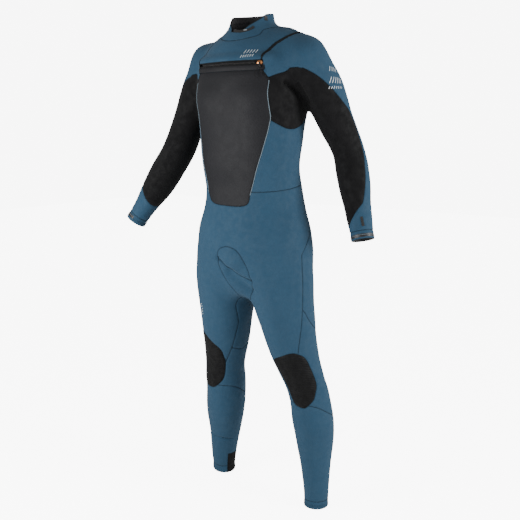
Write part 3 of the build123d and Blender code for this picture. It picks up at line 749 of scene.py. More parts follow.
# ---------------------------------------------------------------- materials
class Look:
    """A node material whose colour, roughness and relief are built up one layer at a time."""

    def __init__(self, name, colour, rough, gloss=0.5, metallic=0.0, sheen=0.0):
        self.material = bpy.data.materials.new(name)
        self.material.use_nodes = True
        self.tree = self.material.node_tree
        self.shader = self.tree.nodes["Principled BSDF"]
        self.shader.inputs["Base Color"].default_value = (*colour, 1)
        self.shader.inputs["Roughness"].default_value = rough
        self.shader.inputs["Specular IOR Level"].default_value = gloss
        self.shader.inputs["Metallic"].default_value = metallic
        self.shader.inputs["Sheen Weight"].default_value = sheen
        self.shader.inputs["Sheen Roughness"].default_value = 0.6
        self.colour = None
        self.relief = None
        self.plain = (*colour, 1)
        self.place = self.node("ShaderNodeTexCoord").outputs["Object"]

    def node(self, kind, **settings):
        node = self.tree.nodes.new(kind)
        for name, value in settings.items():
            setattr(node, name, value)
        return node

    def noise(self, scale, detail=3.0):
        node = self.node("ShaderNodeTexNoise")
        node.inputs["Scale"].default_value = scale
        node.inputs["Detail"].default_value = detail
        self.tree.links.new(self.place, node.inputs["Vector"])
        return node.outputs["Fac"]

    def mapped(self, node, change, by):
        """Give a texture the object's own coordinates, scaled or turned."""
        mapping = self.node("ShaderNodeMapping")
        mapping.inputs[change].default_value = by
        self.tree.links.new(self.place, mapping.inputs["Vector"])
        self.tree.links.new(mapping.outputs["Vector"], node.inputs["Vector"])

    def cells(self, scale, stretch=(1, 1, 1)):
        node = self.node("ShaderNodeTexVoronoi")
        node.inputs["Scale"].default_value = scale
        self.mapped(node, "Scale", stretch)
        return node.outputs["Distance"]

    def waves(self, scale, direction, turned=(0, 0, 0)):
        node = self.node("ShaderNodeTexWave", bands_direction=direction)
        node.inputs["Scale"].default_value = scale
        node.inputs["Distortion"].default_value = 0.4
        self.mapped(node, "Rotation", turned)
        return node.outputs["Fac"]

    def spread(self, value, low, high, to_low, to_high):
        """A value's range from low to high turned smoothly into to_low to to_high."""
        node = self.node("ShaderNodeMapRange", interpolation_type="SMOOTHSTEP")
        names = ("From Min", "From Max", "To Min", "To Max")
        for name, number in zip(names, (low, high, to_low, to_high)):
            node.inputs[name].default_value = number
        self.tree.links.new(value, node.inputs["Value"])
        return node.outputs["Result"]

    def tint(self, share, other):
        """Mix the colour so far with another colour, by share."""
        node = self.node("ShaderNodeMix", data_type="RGBA")
        if self.colour is None:
            node.inputs[6].default_value = self.plain
        else:
            self.tree.links.new(self.colour, node.inputs[6])
        node.inputs[7].default_value = (*other, 1)
        self.tree.links.new(share, node.inputs[0])
        self.colour = node.outputs[2]
        self.tree.links.new(self.colour, self.shader.inputs["Base Color"])

    def uneven(self, value, low, high):
        """Roughness that follows a texture."""
        self.tree.links.new(self.spread(value, 0.3, 0.7, low, high), self.shader.inputs["Roughness"])

    def raised(self, height, distance, strength=0.6):
        """Relief of a height in metres on top of the relief so far."""
        node = self.node("ShaderNodeBump")
        node.inputs["Distance"].default_value = distance
        node.inputs["Strength"].default_value = strength
        self.tree.links.new(height, node.inputs["Height"])
        if self.relief is not None:
            self.tree.links.new(self.relief, node.inputs["Normal"])
        self.relief = node.outputs["Normal"]
        self.tree.links.new(self.relief, self.shader.inputs["Normal"])

    def seam_shadow(self, dark):
        """Darker cloth in the dip along each seam, by the distance from it in millimetres."""
        away_from_seam = self.node("ShaderNodeAttribute", attribute_name="seam").outputs["Fac"]
        self.tint(self.spread(away_from_seam, 0.3, SEAM_SHADE, SEAM_DARKNESS, 0), dark)


def jersey(name, colour, dark, lighter, gloss=0.25):
    """Nylon jersey: fine ribs of knit, slight heathering and a soft sheen."""
    look = Look(name, colour, 0.8, gloss, sheen=0.03)
    look.tint(look.spread(look.noise(16), 0.38, 0.66, 0, 0.25), lighter)
    look.tint(look.spread(look.noise(900, 1), 0.35, 0.7, 0, 0.3), dark)
    look.uneven(look.noise(60), 0.7, 0.88)
    look.seam_shadow(dark)
    look.raised(look.noise(140), 0.0006, 0.4)
    look.raised(look.waves(260, "X", (0, 0, 0.8)), 0.0002, 0.5)
    look.raised(look.cells(900, (1, 1, 0.5)), 0.0003, 0.5)
    return look.material


def embossed_skin(name):
    """Wind panel: smooth rubber skin embossed with a fine net."""
    look = Look(name, (0.0125, 0.0127, 0.0152), 0.62, 0.2)
    look.tint(look.spread(look.noise(12), 0.35, 0.7, 0, 0.4), (0.0138, 0.014, 0.0165))
    net = look.cells(420, (1, 1, 0.7))
    look.tint(look.spread(net, 0.35, 0.62, 0, 0.4), (0.007, 0.007, 0.008))
    look.uneven(look.noise(40), 0.6, 0.66)
    look.seam_shadow((0.008, 0.008, 0.01))
    look.raised(net, 0.0006, 0.55)
    look.raised(look.noise(90), 0.0003, 0.3)
    return look.material


def abrasion_pad(name):
    """Knee pad and heel patch: tough knit with a printed rib."""
    look = Look(name, (0.0022, 0.0022, 0.0025), 0.78, 0.2)
    ribs = look.waves(55, "Z", (0.5, 0.3, 0))
    look.tint(look.spread(ribs, 0.3, 0.8, 0, 0.4), (0.0042, 0.0042, 0.0047))
    look.uneven(look.noise(70), 0.6, 0.82)
    look.seam_shadow((0.006, 0.006, 0.007))
    look.raised(ribs, 0.0007, 0.6)
    look.raised(look.cells(700), 0.0003, 0.5)
    return look.material


def fleece(name):
    """Lining: brushed pile in soft squares."""
    look = Look(name, (0.03, 0.03, 0.034), 0.95, sheen=0.4)
    look.tint(look.spread(look.cells(240), 0.2, 0.6, 0, 0.6), (0.014, 0.014, 0.017))
    look.raised(look.cells(240), 0.001, 0.6)
    look.raised(look.noise(1500, 1), 0.0004, 0.6)
    return look.material


def woven(name, colour, lighter):
    """Tape and binding: close diagonal weave."""
    look = Look(name, colour, 0.7, 0.2)
    look.tint(look.spread(look.waves(520, "DIAGONAL"), 0.4, 0.8, 0, 0.5), lighter)
    look.uneven(look.noise(300), 0.6, 0.8)
    look.raised(look.waves(520, "DIAGONAL"), 0.0003, 0.7)
    return look.material


def hard(name, colour, worn, rough, metallic=0.0):
    """Moulded plastic or plated metal, with fine scratches and worn patches."""
    look = Look(name, colour, rough, 0.5, metallic)
    look.tint(look.spread(look.noise(420, 4), 0.52, 0.75, 0, 0.6), worn)
    look.uneven(look.noise(500), rough * 0.8, rough * 1.3)
    look.raised(look.noise(900, 2), 0.0001, 0.35)
    return look.material


def print_ink(name, colour, faded):
    """Rubbery print, slightly cracked by stretching."""
    look = Look(name, colour, 0.5)
    look.tint(look.spread(look.cells(800), 0.05, 0.4, 0.5, 0.0), faded)
    look.raised(look.noise(1200), 0.0001, 0.4)
    return look.material


BLUE_SHADE = (0.005, 0.014, 0.024)
blue = jersey("blue_jersey", BLUE, BLUE_SHADE, BLUE_LIGHT)
black = jersey("black_jersey", (0.0017, 0.0016, 0.0021), (0.0008, 0.0008, 0.001), (0.0025, 0.0024, 0.003),
               gloss=0.18)
wind_skin = embossed_skin("mesh_skin")
pad = abrasion_pad("knee_pad")
lining = fleece("fleece_lining")
tape_weave = woven("zip_tape_weave", (0.004, 0.004, 0.0045), (0.01, 0.01, 0.011))
binding_weave = woven("binding_weave", (0.0025, 0.003, 0.004), (0.005, 0.006, 0.008))
# Light grey-blue weave for thin lines; along the chest panel's sides its light colour is partly a painted
# highlight on the panel's edge
piping_weave = woven("piping_weave", (0.16, 0.21, 0.25), (0.24, 0.3, 0.34))
thread = woven("stitch_thread", (0.006, 0.016, 0.026), (0.012, 0.03, 0.045))
plastic = hard("zip_plastic", (0.005, 0.005, 0.0055), (0.014, 0.014, 0.014), 0.42)
copper = hard("slider_metal", (0.62, 0.26, 0.1), (0.34, 0.15, 0.07), 0.32, 1.0)
white_print = print_ink("white_print", (0.62, 0.66, 0.68), (0.35, 0.4, 0.43))
label_rubber = hard("label_rubber", (0.01, 0.01, 0.011), (0.022, 0.022, 0.024), 0.5)

# Panels that aren't blue: their material and its slot
LOOK_OF = {"chest_panel": (wind_skin, "mesh_skin"), "back_panel": (wind_skin, "mesh_skin"),
           "zip_facing": (wind_skin, "mesh_skin")}
for side in ("left", "right"):
    LOOK_OF[f"{side}_underarm_panel"] = (black, "black_jersey")
    LOOK_OF[f"{side}_knee_pad"] = (pad, "knee_pad")
    LOOK_OF[f"{side}_heel_patch"] = (pad, "knee_pad")
    LOOK_OF[f"{side}_ankle_band_back"] = (pad, "knee_pad")


def add_mesh(name, parts, materials):
    """A mesh object from (points, faces) parts in mm; a third item numbers the faces' materials."""
    points, faces, numbers, first = [], [], [], 0
    for some_points, some_faces, *some_numbers in parts:
        points.append(np.asarray(some_points, float))
        faces += [[int(i) + first for i in face] for face in some_faces]
        numbers += some_numbers[0] if some_numbers else [0] * len(some_faces)
        first += len(some_points)
    mesh = bpy.data.meshes.new(name)
    mesh.from_pydata((np.vstack(points) + WEARER_AT) / 1000, [], faces)
    mesh.polygons.foreach_set("material_index", np.array(numbers, np.int32))
    for material in materials:
        mesh.materials.append(material)
    mesh.shade_smooth()
    mesh.set_sharp_from_angle(angle=radians(SHARP_FROM))
    obj = bpy.data.objects.new(name, mesh)
    bpy.context.scene.collection.objects.link(obj)
    return obj


def attach(obj, body, slot, *nodes):
    """Put a piece on its body, or bake it in place for the fold, and hide the CAD nodes that it stands for;
    the paint slot is not used.
    """
    if body == "fold":
        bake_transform(obj)
    else:
        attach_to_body(obj, body)
    for node in nodes:
        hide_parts(node)
    return obj


def add_piece(name, parts, material, body, slot, *nodes):
    """A piece of one material on its body."""
    return attach(add_mesh(name, parts, [material]), body, slot, *nodes)


# ---------------------------------------------------------------- paths, tubes and slabs
def evened(path, spacing, rounds=1):
    """A path smoothed a little and given evenly spaced points; columns past the third go along."""
    path = np.array(path, float)
    for _ in range(rounds):
        path[1:-1] = 0.25 * path[:-2] + 0.5 * path[1:-1] + 0.25 * path[2:]
    gaps = np.linalg.norm(np.diff(path[:, :3], axis=0), axis=1)
    along = np.append(0, np.cumsum(gaps))
    at = np.linspace(0, along[-1], max(3, int(round(along[-1] / spacing)) + 1))
    return np.stack([np.interp(at, along, column) for column in path.T], 1)


def sideways(path, normals):
    """Unit directions across a path that lies on a surface."""
    return unit(np.cross(np.gradient(path, axis=0), normals))


def ring_faces(rings, sides, closed=False):
    """Faces that join rings of corners into a tube, either closed on itself or with closed ends."""
    faces = []
    for i in range(rings if closed else rings - 1):
        j = (i + 1) % rings
        for k in range(sides):
            m = (k + 1) % sides
            faces.append((i * sides + k, i * sides + m, j * sides + m, j * sides + k))
    if not closed:
        faces.append(tuple(range(sides))[::-1])
        faces.append(tuple((rings - 1) * sides + k for k in range(sides)))
    return faces


def grid_faces(rows, columns):
    """Faces on a grid of corners, row by row."""
    first = (np.arange(rows - 1)[:, None] * columns + np.arange(columns - 1)).ravel()
    return first[:, None] + np.array([0, 1, columns + 1, columns])


def closed_shell(outer, inner, faces):
    """Two sheets joined round their free edges; faces are numbered 0 outside, 1 inside and 2 between."""
    sides = sides_of(faces)
    _, first, counts = np.unique(np.sort(sides, 1), axis=0, return_index=True, return_counts=True)
    rim = sides[first[counts == 1]]
    n = len(outer)
    between = np.stack([rim[:, 1], rim[:, 0], rim[:, 0] + n, rim[:, 1] + n], 1)
    every = faces.tolist() + (faces[:, ::-1] + n).tolist() + between.tolist()
    return np.vstack([outer, inner]), every, [0] * len(faces) + [1] * len(faces) + [2] * len(between)


def tube(path, normals, half_width, half_height, lift=0.0, sides=8, closed=False):
    """Points and faces of a tube of oval section along a path."""
    normals = unit(normals)
    across = sideways(path, normals)
    if closed:
        across = unit(np.cross(np.roll(path, -1, 0) - np.roll(path, 1, 0), normals))
    half_width = np.broadcast_to(half_width, len(path))[:, None]
    half_height = np.broadcast_to(half_height, len(path))[:, None]
    rings = []
    for angle in np.arange(sides) * tau / sides:
        rings.append(path + across * half_width * cos(angle) + normals * (half_height * sin(angle) + lift))
    return np.stack(rings, 1).reshape(-1, 3), ring_faces(len(path), sides, closed)


def slab(corners, origin, right, up, low, high, bevel=0.25, hole=None):
    """A plate with bevelled edges: an outline in the right-up plane, low to high along its normal."""
    right, up = unit(np.array([right, up], float))
    levels = [(low, bevel), (low + bevel, 0), (high - bevel, 0), (high, bevel)]
    rings = [(np.array(corners, float), level, inset) for level, inset in levels]
    if hole is not None:
        rings += [(hole, level, -inset) for level, inset in levels[::-1]]
    points = []
    for loop, level, inset in rings:
        run = unit(np.roll(loop, -1, 0) - np.roll(loop, 1, 0))
        flat = loop + inset * np.stack([-run[:, 1], run[:, 0]], 1)
        points.append(origin + flat[:, :1] * right + flat[:, 1:] * up + np.cross(right, up) * level)
    return np.vstack(points), ring_faces(len(rings), len(corners), hole is not None)


def circle(centre, radius, count=24):
    angles = np.arange(count) * tau / count
    return np.array(centre) + radius * np.stack([np.cos(angles), np.sin(angles)], 1)


def laid(p):
    """Points moved onto the worn skin with its creases and its lift round the zip, and its normals."""
    p = onto_skin(p, 3)
    out = unit(field_slope(p))
    p = p + lift_to_zip(p)
    return p - out * crease(p)[:, None], out


def strip(flat, origin, right, up, half_width, height, across=2):
    """A flat strip lying on the skin: a path in the plane of right and up, laid onto the skin."""
    path = np.array(origin) + flat[:, :1] * np.array(right) + flat[:, 1:] * np.array(up)
    path = onto_skin(path, 4)
    side = sideways(path, field_slope(path))
    rows = [path + side * half_width * (2 * k / across - 1) for k in range(across + 1)]
    grid, out = laid(np.stack(rows, 1).reshape(-1, 3))
    faces = grid_faces(len(path), across + 1)[:, ::-1]
    return closed_shell(grid + out * height, grid - out * STRIP_SUNK, faces)[:2]


def straight(start, end, count=6):
    return np.linspace(start, end, count)


# ---------------------------------------------------------------- panels
edges, kinds = skin.seam_edges()
start, end = (skin.points[edges[:, i]] for i in (0, 1))
spots = np.vstack([start * (1 - t) + end * t for t in (0, 0.34, 0.67)])
tree = KDTree(len(spots))
for i, spot in enumerate(spots):
    tree.insert(spot, i)
tree.balance()
normals = normals_of(skin.points, skin.faces)
on_seam = np.zeros(len(skin.points), bool)
on_seam[edges.ravel()] = True
away = np.array([tree.find(p)[2] for p in skin.points])
away[on_seam] = 0
skin.points = skin.points - normals * (GROOVE_DEPTH * (1 - ramp(away, 0, GROOVE_WIDTH)))[:, None]

# Panels that are cut finer than the CAD nodes that they stand for
NODE_OF = {"left_ankle_band_back": "left_ankle_band", "right_ankle_band_back": "right_ankle_band",
           "crotch_gusset_cup": "crotch_gusset"}
BODY_OF = {"neck_collar": "neck_yoke", "front_yoke": "neck_yoke", "back_yoke": "fold"}
for number, name in enumerate(skin.names):
    rows = np.flatnonzero(skin.labels == number)
    if not len(rows):
        continue
    used, local = np.unique(skin.faces[rows], return_inverse=True)
    outer = skin.points[used]
    if name.endswith("knee_pad"):
        outer = outer + normals[used] * (PAD_RISE * ramp(away[used], 0, 4))[:, None]
    inner = skin.points[used] - normals[used] * WALL
    material, slot = LOOK_OF.get(name, (blue, "blue_jersey"))
    panel = closed_shell(outer, inner, local.reshape(-1, 3))
    obj = add_mesh(f"{name}_skin", [panel], [material, lining, black])
    seam = obj.data.attributes.new("seam", "FLOAT", "POINT")
    seam.data.foreach_set("value", np.append(away[used], np.full(len(used), FAR)).astype(np.float32))
    attach(obj, BODY_OF.get(name, "suit"), slot, NODE_OF.get(name, name))


# ---------------------------------------------------------------- sewing
def chains(pairs):
    """Edges joined up into runs of corners; a run ends where three or more seams meet."""
    beside = {}
    for a, b in pairs.tolist():
        beside.setdefault(a, []).append(b)
        beside.setdefault(b, []).append(a)
    used, found = set(), []
    ends = [corner for corner, others in beside.items() if len(others) != 2]
    for start in ends + list(beside):
        for after in beside[start]:
            if (start, after) in used:
                continue
            run = [start, after]
            used |= {(start, after), (after, start)}
            while len(beside[run[-1]]) == 2:
                a, b = beside[run[-1]]
                after = b if a == run[-2] else a
                if (run[-1], after) in used:
                    break
                used |= {(run[-1], after), (after, run[-1])}
                run.append(after)
            found.append(run)
    return found


def seam_paths(test, spacing, shortest=12.0):
    """Even paths, with normals, along the seams whose two panel names and middle pass a test."""
    names = skin.names + ["none"]
    middle = (skin.points[edges[:, 0]] + skin.points[edges[:, 1]]) / 2
    chosen = [test(names[a], names[b], spot) for (a, b), spot in zip(kinds, middle)]
    paths = []
    for run in chains(edges[np.array(chosen, bool)]):
        path = evened(np.hstack([skin.points[run], normals[run]]), spacing, 2)
        if len(path) * spacing > shortest:
            paths.append((path[:, :3], path[:, 3:], run[0] == run[-1]))
    return paths


def zigzag(paths, half_width, radius):
    """Flatlock stitches: a thread that crosses the seam back and forth."""
    parts = []
    for path, out, _ in paths:
        across = sideways(path, out)
        turn_by = np.where(np.arange(len(path)) % 2, half_width, -half_width)[:, None]
        parts.append(tube(path + across * turn_by, out, radius, radius, STITCH_LIFT, 4))
    return parts


def seam_body(a, b, spot):
    """The body that a seam's stitches ride on."""
    if "back_yoke" in (a, b) and spot[2] < FOLD_LEVEL + 12 and spot[1] > FOLD_Y:
        return "suit"
    return "neck_yoke" if {a, b} & {"neck_collar", "front_yoke", "back_yoke"} else "suit"


for body in ("suit", "neck_yoke"):
    sewn = seam_paths(lambda a, b, spot: "none" not in (a, b) and "_back" not in a + b
                      and seam_body(a, b, spot) == body, STITCH_STEP)
    add_piece(f"{body}_flatlock_stitches", zigzag(sewn, STITCH_HALF, THREAD), thread, body, "webbing")

# Cover stitch round each hem: two rows of short stitches
rows = []
for hem in HEMS:
    end, run, length = hem_run(hem)
    u = unit(np.cross(run, (0, 1, 0)))
    v = np.cross(run, u)
    for back in (9.0, 13.0):
        ring = end + run * (length - back) + 34 * (circle((0, 0), 1, 199) @ (u, v))
        ring = np.vstack([ring, ring[:1]])
        for _ in range(3):
            ring = onto_skin(ring, 1)
            ring = ring - ((ring - end) @ run - (length - back))[:, None] * run
        path = evened(np.hstack([ring, field_slope(ring)]), 2.6, 0)
        for a in range(0, len(path) - 1, 2):
            rows.append(tube(path[a:a + 2, :3], path[a:a + 2, 3:], 0.35, 0.35, 0.15, 4))
add_piece("hem_cover_stitches", rows, thread, "suit", "webbing")

# Bound edge of the yoke: thick on the wearer's left, thin along the zip and on the right
free_front = seam_paths(lambda a, b, spot: {a, b} == {"none", "front_yoke"}, 3.0)
free_back = seam_paths(lambda a, b, spot: {a, b} == {"none", "back_yoke"}, 3.0)


def bound(paths):
    """Binding along the yoke's free edge, wider past the ends of the zip."""
    parts = []
    for path, out, _ in paths:
        on_left = 1.5 + 3.0 * ramp(path[:, 2], 1308, 1318)
        on_right = 1.5 + 1.0 * ramp(path[:, 2], 1308, 1318) + 1.2 * ramp(path[:, 2], 1366, 1390)
        half_width = np.where(path[:, 0] > 0, on_left, on_right)
        parts.append(tube(path, out, half_width, 0.55 * half_width, 0.4))
    return parts


add_piece("yoke_front_binding", bound(free_front), binding_weave, "neck_yoke", "black_jersey")
add_piece("yoke_back_binding", bound(free_back), binding_weave, "fold", "black_jersey")

rim_paths = seam_paths(lambda a, b, spot: {a, b} == {"none", "neck_collar"}, 3.0)
rim_parts = []
for path, out, closed in rim_paths:
    if closed:
        path, out = path[:-1], out[:-1]
    rim_parts.append(tube(path - out * WALL / 2, out, 1.2, WALL / 2 + 0.5, 0, 10, closed))
add_piece("collar_rim_binding", rim_parts, binding_weave, "neck_yoke", "black_jersey")


def beside_chest(a, b, spot):
    return "chest_panel" in (a, b) and "zip_facing" not in (a, b)


corner_paths = seam_paths(lambda a, b, spot: beside_chest(a, b, spot) and spot[2] > 1254, 3.0, 6)
corner_parts = [tube(path, out, 3.6, 1.1, 0.9) for path, out, _ in corner_paths]
add_piece("chest_corner_tapes", corner_parts, binding_weave, "suit", "black_jersey")
# Light line along the chest panel's sides: partly a light stitched line, partly a painted highlight on the
# panel's edge
side_paths = seam_paths(lambda a, b, spot: beside_chest(a, b, spot) and 945 < spot[2] < 1256
                        and abs(spot[0]) > 50, 3.0)
stitch_and_highlight_line = [tube(path, out, 0.9, 0.7, 1.0) for path, out, _ in side_paths]
add_piece("chest_side_piping", stitch_and_highlight_line, piping_weave, "suit", "webbing")

# Collar lining: a band of fleece round the inside of the rim
collar_faces = skin.faces[skin.labels == skin.number("neck_collar")]
used, local = np.unique(collar_faces, return_inverse=True)
band = Skin(skin.points[used], local.reshape(-1, 3))
foot = [(y, z - LINING_DEPTH) for y, z in RIM]
band.cut(side_prism(outline([(110, 1600), (-100, 1600)], foot)), "skin", "lining")
band.drop("skin")
used, local = np.unique(band.faces, return_inverse=True)
out = normals_of(band.points, band.faces)[used]
fleece_band = closed_shell(band.points[used] - out * (WALL + 0.05), band.points[used] - out * (WALL + 1.1),
                           local.reshape(-1, 3))
add_piece("collar_fleece", [fleece_band[:2]], lining, "neck_yoke", "black_jersey", "collar_lining")


# ---------------------------------------------------------------- chest zip
def on_arc(x, out, z):
    """A point at a place across the chest, a distance outside the zip's arc and a height."""
    at = asin(x / ZIP_RADIUS)
    radius = ZIP_RADIUS + out
    return np.array([radius * sin(at), ZIP_AXIS_Y - radius * cos(at), z])


def along_arc(section, x_from, x_to, step=3.0):
    """A section of (outward, height) corners swept along the zip's arc, with closed ends."""
    count = int((x_to - x_from) / step) + 2
    points = [on_arc(x, out, z) for x in np.linspace(x_from, x_to, count) for out, z in section]
    return np.array(points), [face[::-1] for face in ring_faces(count, len(section))]


def tape_section(low, high):
    """A woven tape with three raised cords along it."""
    front = [(-1.5 + 0.45 * abs(sin(pi * 3 * k / 12)), low + (high - low) * k / 12) for k in range(13)]
    return front + [(-2.5, high), (-2.5, low)]


upper_tape = along_arc(tape_section(ZIP_LEVEL + 0.8, slot_high - 0.1), -104, 90)
add_piece("upper_tape", [upper_tape], tape_weave, "neck_yoke", "webbing", "upper_zip_tape")
lower_tape = along_arc(tape_section(slot_low, ZIP_LEVEL - 0.8), ZIP_RIGHT + 3, ZIP_LEFT - 1)
add_piece("lower_tape", [lower_tape], tape_weave, "suit", "webbing", "lower_zip_tape")

TOOTH = [(-0.6, -1.5), (0.6, -1.5), (0.6, 0.2), (0.75, 0.8), (0.55, 1.4), (-0.55, 1.4), (-0.75, 0.8),
         (-0.6, 0.2)]


def tangent(x):
    """The direction along the zip's arc, towards the wearer's left."""
    at = asin(x / ZIP_RADIUS)
    return np.array([cos(at), sin(at), 0])


def tooth_row(foot, up, shift):
    """Moulded teeth along one tape, with their heads towards the other row."""
    corners = [(u, v * up) for u, v in TOOTH][::up]
    parts = []
    for x in np.arange(TEETH_RIGHT, TEETH_LEFT - TOOTH_PITCH, TOOTH_PITCH) + shift:
        parts.append(slab(corners, on_arc(x, 0, foot + 1.5 * up), tangent(x), (0, 0, 1), -1.5, 0.1, 0.22))
    return parts


upper_row = tooth_row(ZIP_LEVEL + 2.5, -1, 0)
add_piece("upper_teeth", upper_row, plastic, "neck_yoke", "zip_plastic", "upper_zip_teeth")
lower_row = tooth_row(ZIP_LEVEL - 2.5, 1, TOOTH_PITCH / 2)
add_piece("lower_teeth", lower_row, plastic, "suit", "zip_plastic", "lower_zip_teeth")

stop_corners = rounded([(-1.2, -3.5), (1.2, -3.5), (1.2, 3.5), (-1.2, 3.5)], 2)
stops = [slab(stop_corners, on_arc(x, 0, ZIP_LEVEL), tangent(x), (0, 0, 1), -2.4, 0.4)
         for x in (ZIP_RIGHT + 1.6, ZIP_LEFT - 0.6)]
add_piece("end_stops", stops, plastic, "suit", "zip_plastic", "zip_end_stops")

# Slider: a shaped body with side walls, a bridge and its nose towards the closed end
across = tangent(SLIDER_AT)
upright = np.array([0, 0, 1.0])
outward = np.cross(across, upright)
on_plate = on_arc(SLIDER_AT, 0, ZIP_LEVEL)
body_corners = rounded([(-7.4, -3.2), (-3.5, -4.7), (7.0, -4.5), (7.0, 4.5), (-3.5, 4.7), (-7.4, 3.2)], 2)
slider_parts = [slab(body_corners, on_plate, across, upright, 0.6, 1.8, 0.35)]
for sign in (-1, 1):
    wall = rounded([(-3.0, sign * 3.2), (6.8, sign * 3.2), (6.8, sign * 4.5), (-3.0, sign * 4.5)][::sign], 1)
    slider_parts.append(slab(wall, on_plate, across, upright, -1.1, 0.7, 0.15))
arch = [on_plate - across * 4.4 * cos(a) + outward * (1.6 + 2.6 * sin(a)) for a in np.linspace(0, pi, 12)]
slider_parts.append(tube(np.array(arch), np.tile(upright, (12, 1)), 0.8, 1.3, 0, 10))
add_piece("slider", slider_parts, copper, "zip_slider_body", "slider_metal", "zip_slider")

# Pull: a moulded tab with a sleeve round the bail, grip ribs and an eye, and the cord loop through its eye
bail = on_arc(SLIDER_AT, 3.4, ZIP_LEVEL)
pull_face = outward * cos(radians(PULL_TILT)) + upright * sin(radians(PULL_TILT))
pull_up = np.cross(pull_face, across)
sleeve_ring = bail + circle((0, 0), 1.5, 16) @ (outward, upright)
tab_parts = [tube(sleeve_ring, np.tile(across, (16, 1)), 0.4, 2.6, 0, 8, True)]
blade = []
for angle in np.arange(24) * tau / 24:
    width = 3.0 if sin(angle) < 0 else 2.5
    blade.append((width * np.sign(cos(angle)) * abs(cos(angle)) ** 0.6, -8.7 + 7.1 * sin(angle)))
tab_parts.append(slab(blade, bail, across, pull_up, -0.2, 1.4, 0.3, circle((0, EYE_AT), 1.5)))
for k in range(4):
    rib = np.array([bail + pull_up * (-4.4 - 1.5 * k) + across * u + pull_face * 1.4 for u in (-1.8, 0, 1.8)])
    tab_parts.append(tube(rib, np.tile(pull_face, (3, 1)), 0.3, 0.3, 0, 6))
add_piece("pull_tab", tab_parts, plastic, "zip_pull", "zip_plastic", "zip_pull_tab")
loop_path = []
for angle in np.arange(48) * tau / 48:
    narrow = 0.55 + 0.45 * ramp(-sin(angle), -1, 0.2)
    aside = -4 * ramp(-sin(angle), -1, 0.4) + 7.4 * narrow * cos(angle)
    below = EYE_AT - 14.4 + 14.4 * sin(angle)
    loop_path.append(bail + across * aside + pull_up * below + pull_face * 0.6)
loop = tube(np.array(loop_path), np.tile(pull_face, (48, 1)), 0.95, 0.85, 0, 8, True)
add_piece("pull_loop", [loop], tape_weave, "zip_pull", "webbing", "zip_pull_loop")

# Storm flap behind the zip: a foot sewn to the chest side and a sheet that stands clear of the tapes
columns = np.linspace(-96, 92, 48)
levels = np.linspace(1258, 1340, 22)
front = []
for z in levels:
    narrower = 0.88 + 0.12 * ramp(-z, -1340, -1270)
    front += [(x * narrower, -130.0, z) for x in columns]
front = np.array(front)
# Halve the way to the skin in front of each point
low, high = np.full(len(front), -160.0), np.full(len(front), -40.0)
for _ in range(16):
    front[:, 1] = (low + high) / 2
    outside = field(front) > 0
    low, high = np.where(outside, front[:, 1], low), np.where(outside, high, front[:, 1])
out = unit(field_slope(front))
thin = ramp(front[:, 2], 1270, 1284)[:, None]
flap = closed_shell(front - out * (WALL + 0.5 + 2.6 * thin), front - out * (WALL + FLAP_DEPTH),
                    grid_faces(len(levels), len(columns)))
add_piece("storm_flap", [flap[:2]], lining, "suit", "black_jersey", "zip_barrier")


# ---------------------------------------------------------------- labels and marks
def marks(name, origin, right, up, strokes, half_width, body="suit", look=(white_print, 0.35, 2), nodes=()):
    """Strokes on the skin, paths in the right-up plane; look has a material, height and columns."""
    material, height, across = look
    parts = []
    for stroke in strokes:
        path = straight(*stroke) if len(stroke) == 2 else smooth_path(stroke, 6)
        parts.append(strip(path, origin, right, up, half_width, height, across))
    add_piece(name, parts, material, body, "label", *nodes)


def slanted(count, pitch, tall, lean, row_at=0.0, first=0.0):
    """A row of evenly spaced slanted strokes."""
    return [((first + k * pitch, row_at), (first + k * pitch + lean, row_at + tall)) for k in range(count)]


UPRIGHT = (0, 0, 1)
chest_strokes = slanted(5, 8.0, 11.0, 4.0) + slanted(6, 6.4, 7.0, 2.6, -12.0, -6.0)
marks("chest_print", (47, -91, 1322), (0.96, 0.28, 0), UPRIGHT, chest_strokes, 0.75, "neck_yoke")
arm_strokes = slanted(4, 9.0, 14.0, 4.0, 26) + slanted(6, 8.0, 16.0, 5.0, -6) + slanted(7, 6.6, 6.0, 2.0, -20)
marks("upper_arm_print", (246, 10, 1252), (0.45, 0.89, 0), (0.1, 0, 1), arm_strokes, 0.85)
thigh_strokes = [((k * 1.6, k * 8.0), (k * 1.6 + 8.0, k * 8.0 + 5.0)) for k in range(5)]
marks("thigh_print", (-153, -58, 566), (0.93, -0.37, 0), (-0.2, 0, 1), thigh_strokes, 0.85)
collar = ((16, -66, 1390), (0.97, 0.24, 0), UPRIGHT)
collar_path = [(-28, 6), (-14, -1), (0, -3), (14, 0), (26, 7), (34, 15)]
marks("collar_band", *collar, [collar_path], 4.0, "neck_yoke", (label_rubber, 0.7, 4))
collar_strokes = slanted(3, 3.4, 3.0, 1.0, -1.0, 6)
marks("collar_print", *collar, collar_strokes, 0.6, "neck_yoke", (white_print, 1.05, 2))
marks("collar_patch", (58, -16, 1424), (0.3, 0.95, 0), UPRIGHT, [((0, -7), (0, 7))], 5.0, "neck_yoke",
      (label_rubber, 0.7, 4))
marks("left_wrist_grip", (338, 50, 880), (1, 0, 0), (-0.25, 0, 1), [((0, -13), (0, 13))], 3.5, "suit",
      (label_rubber, 0.8, 3), ("left_wrist_label",))

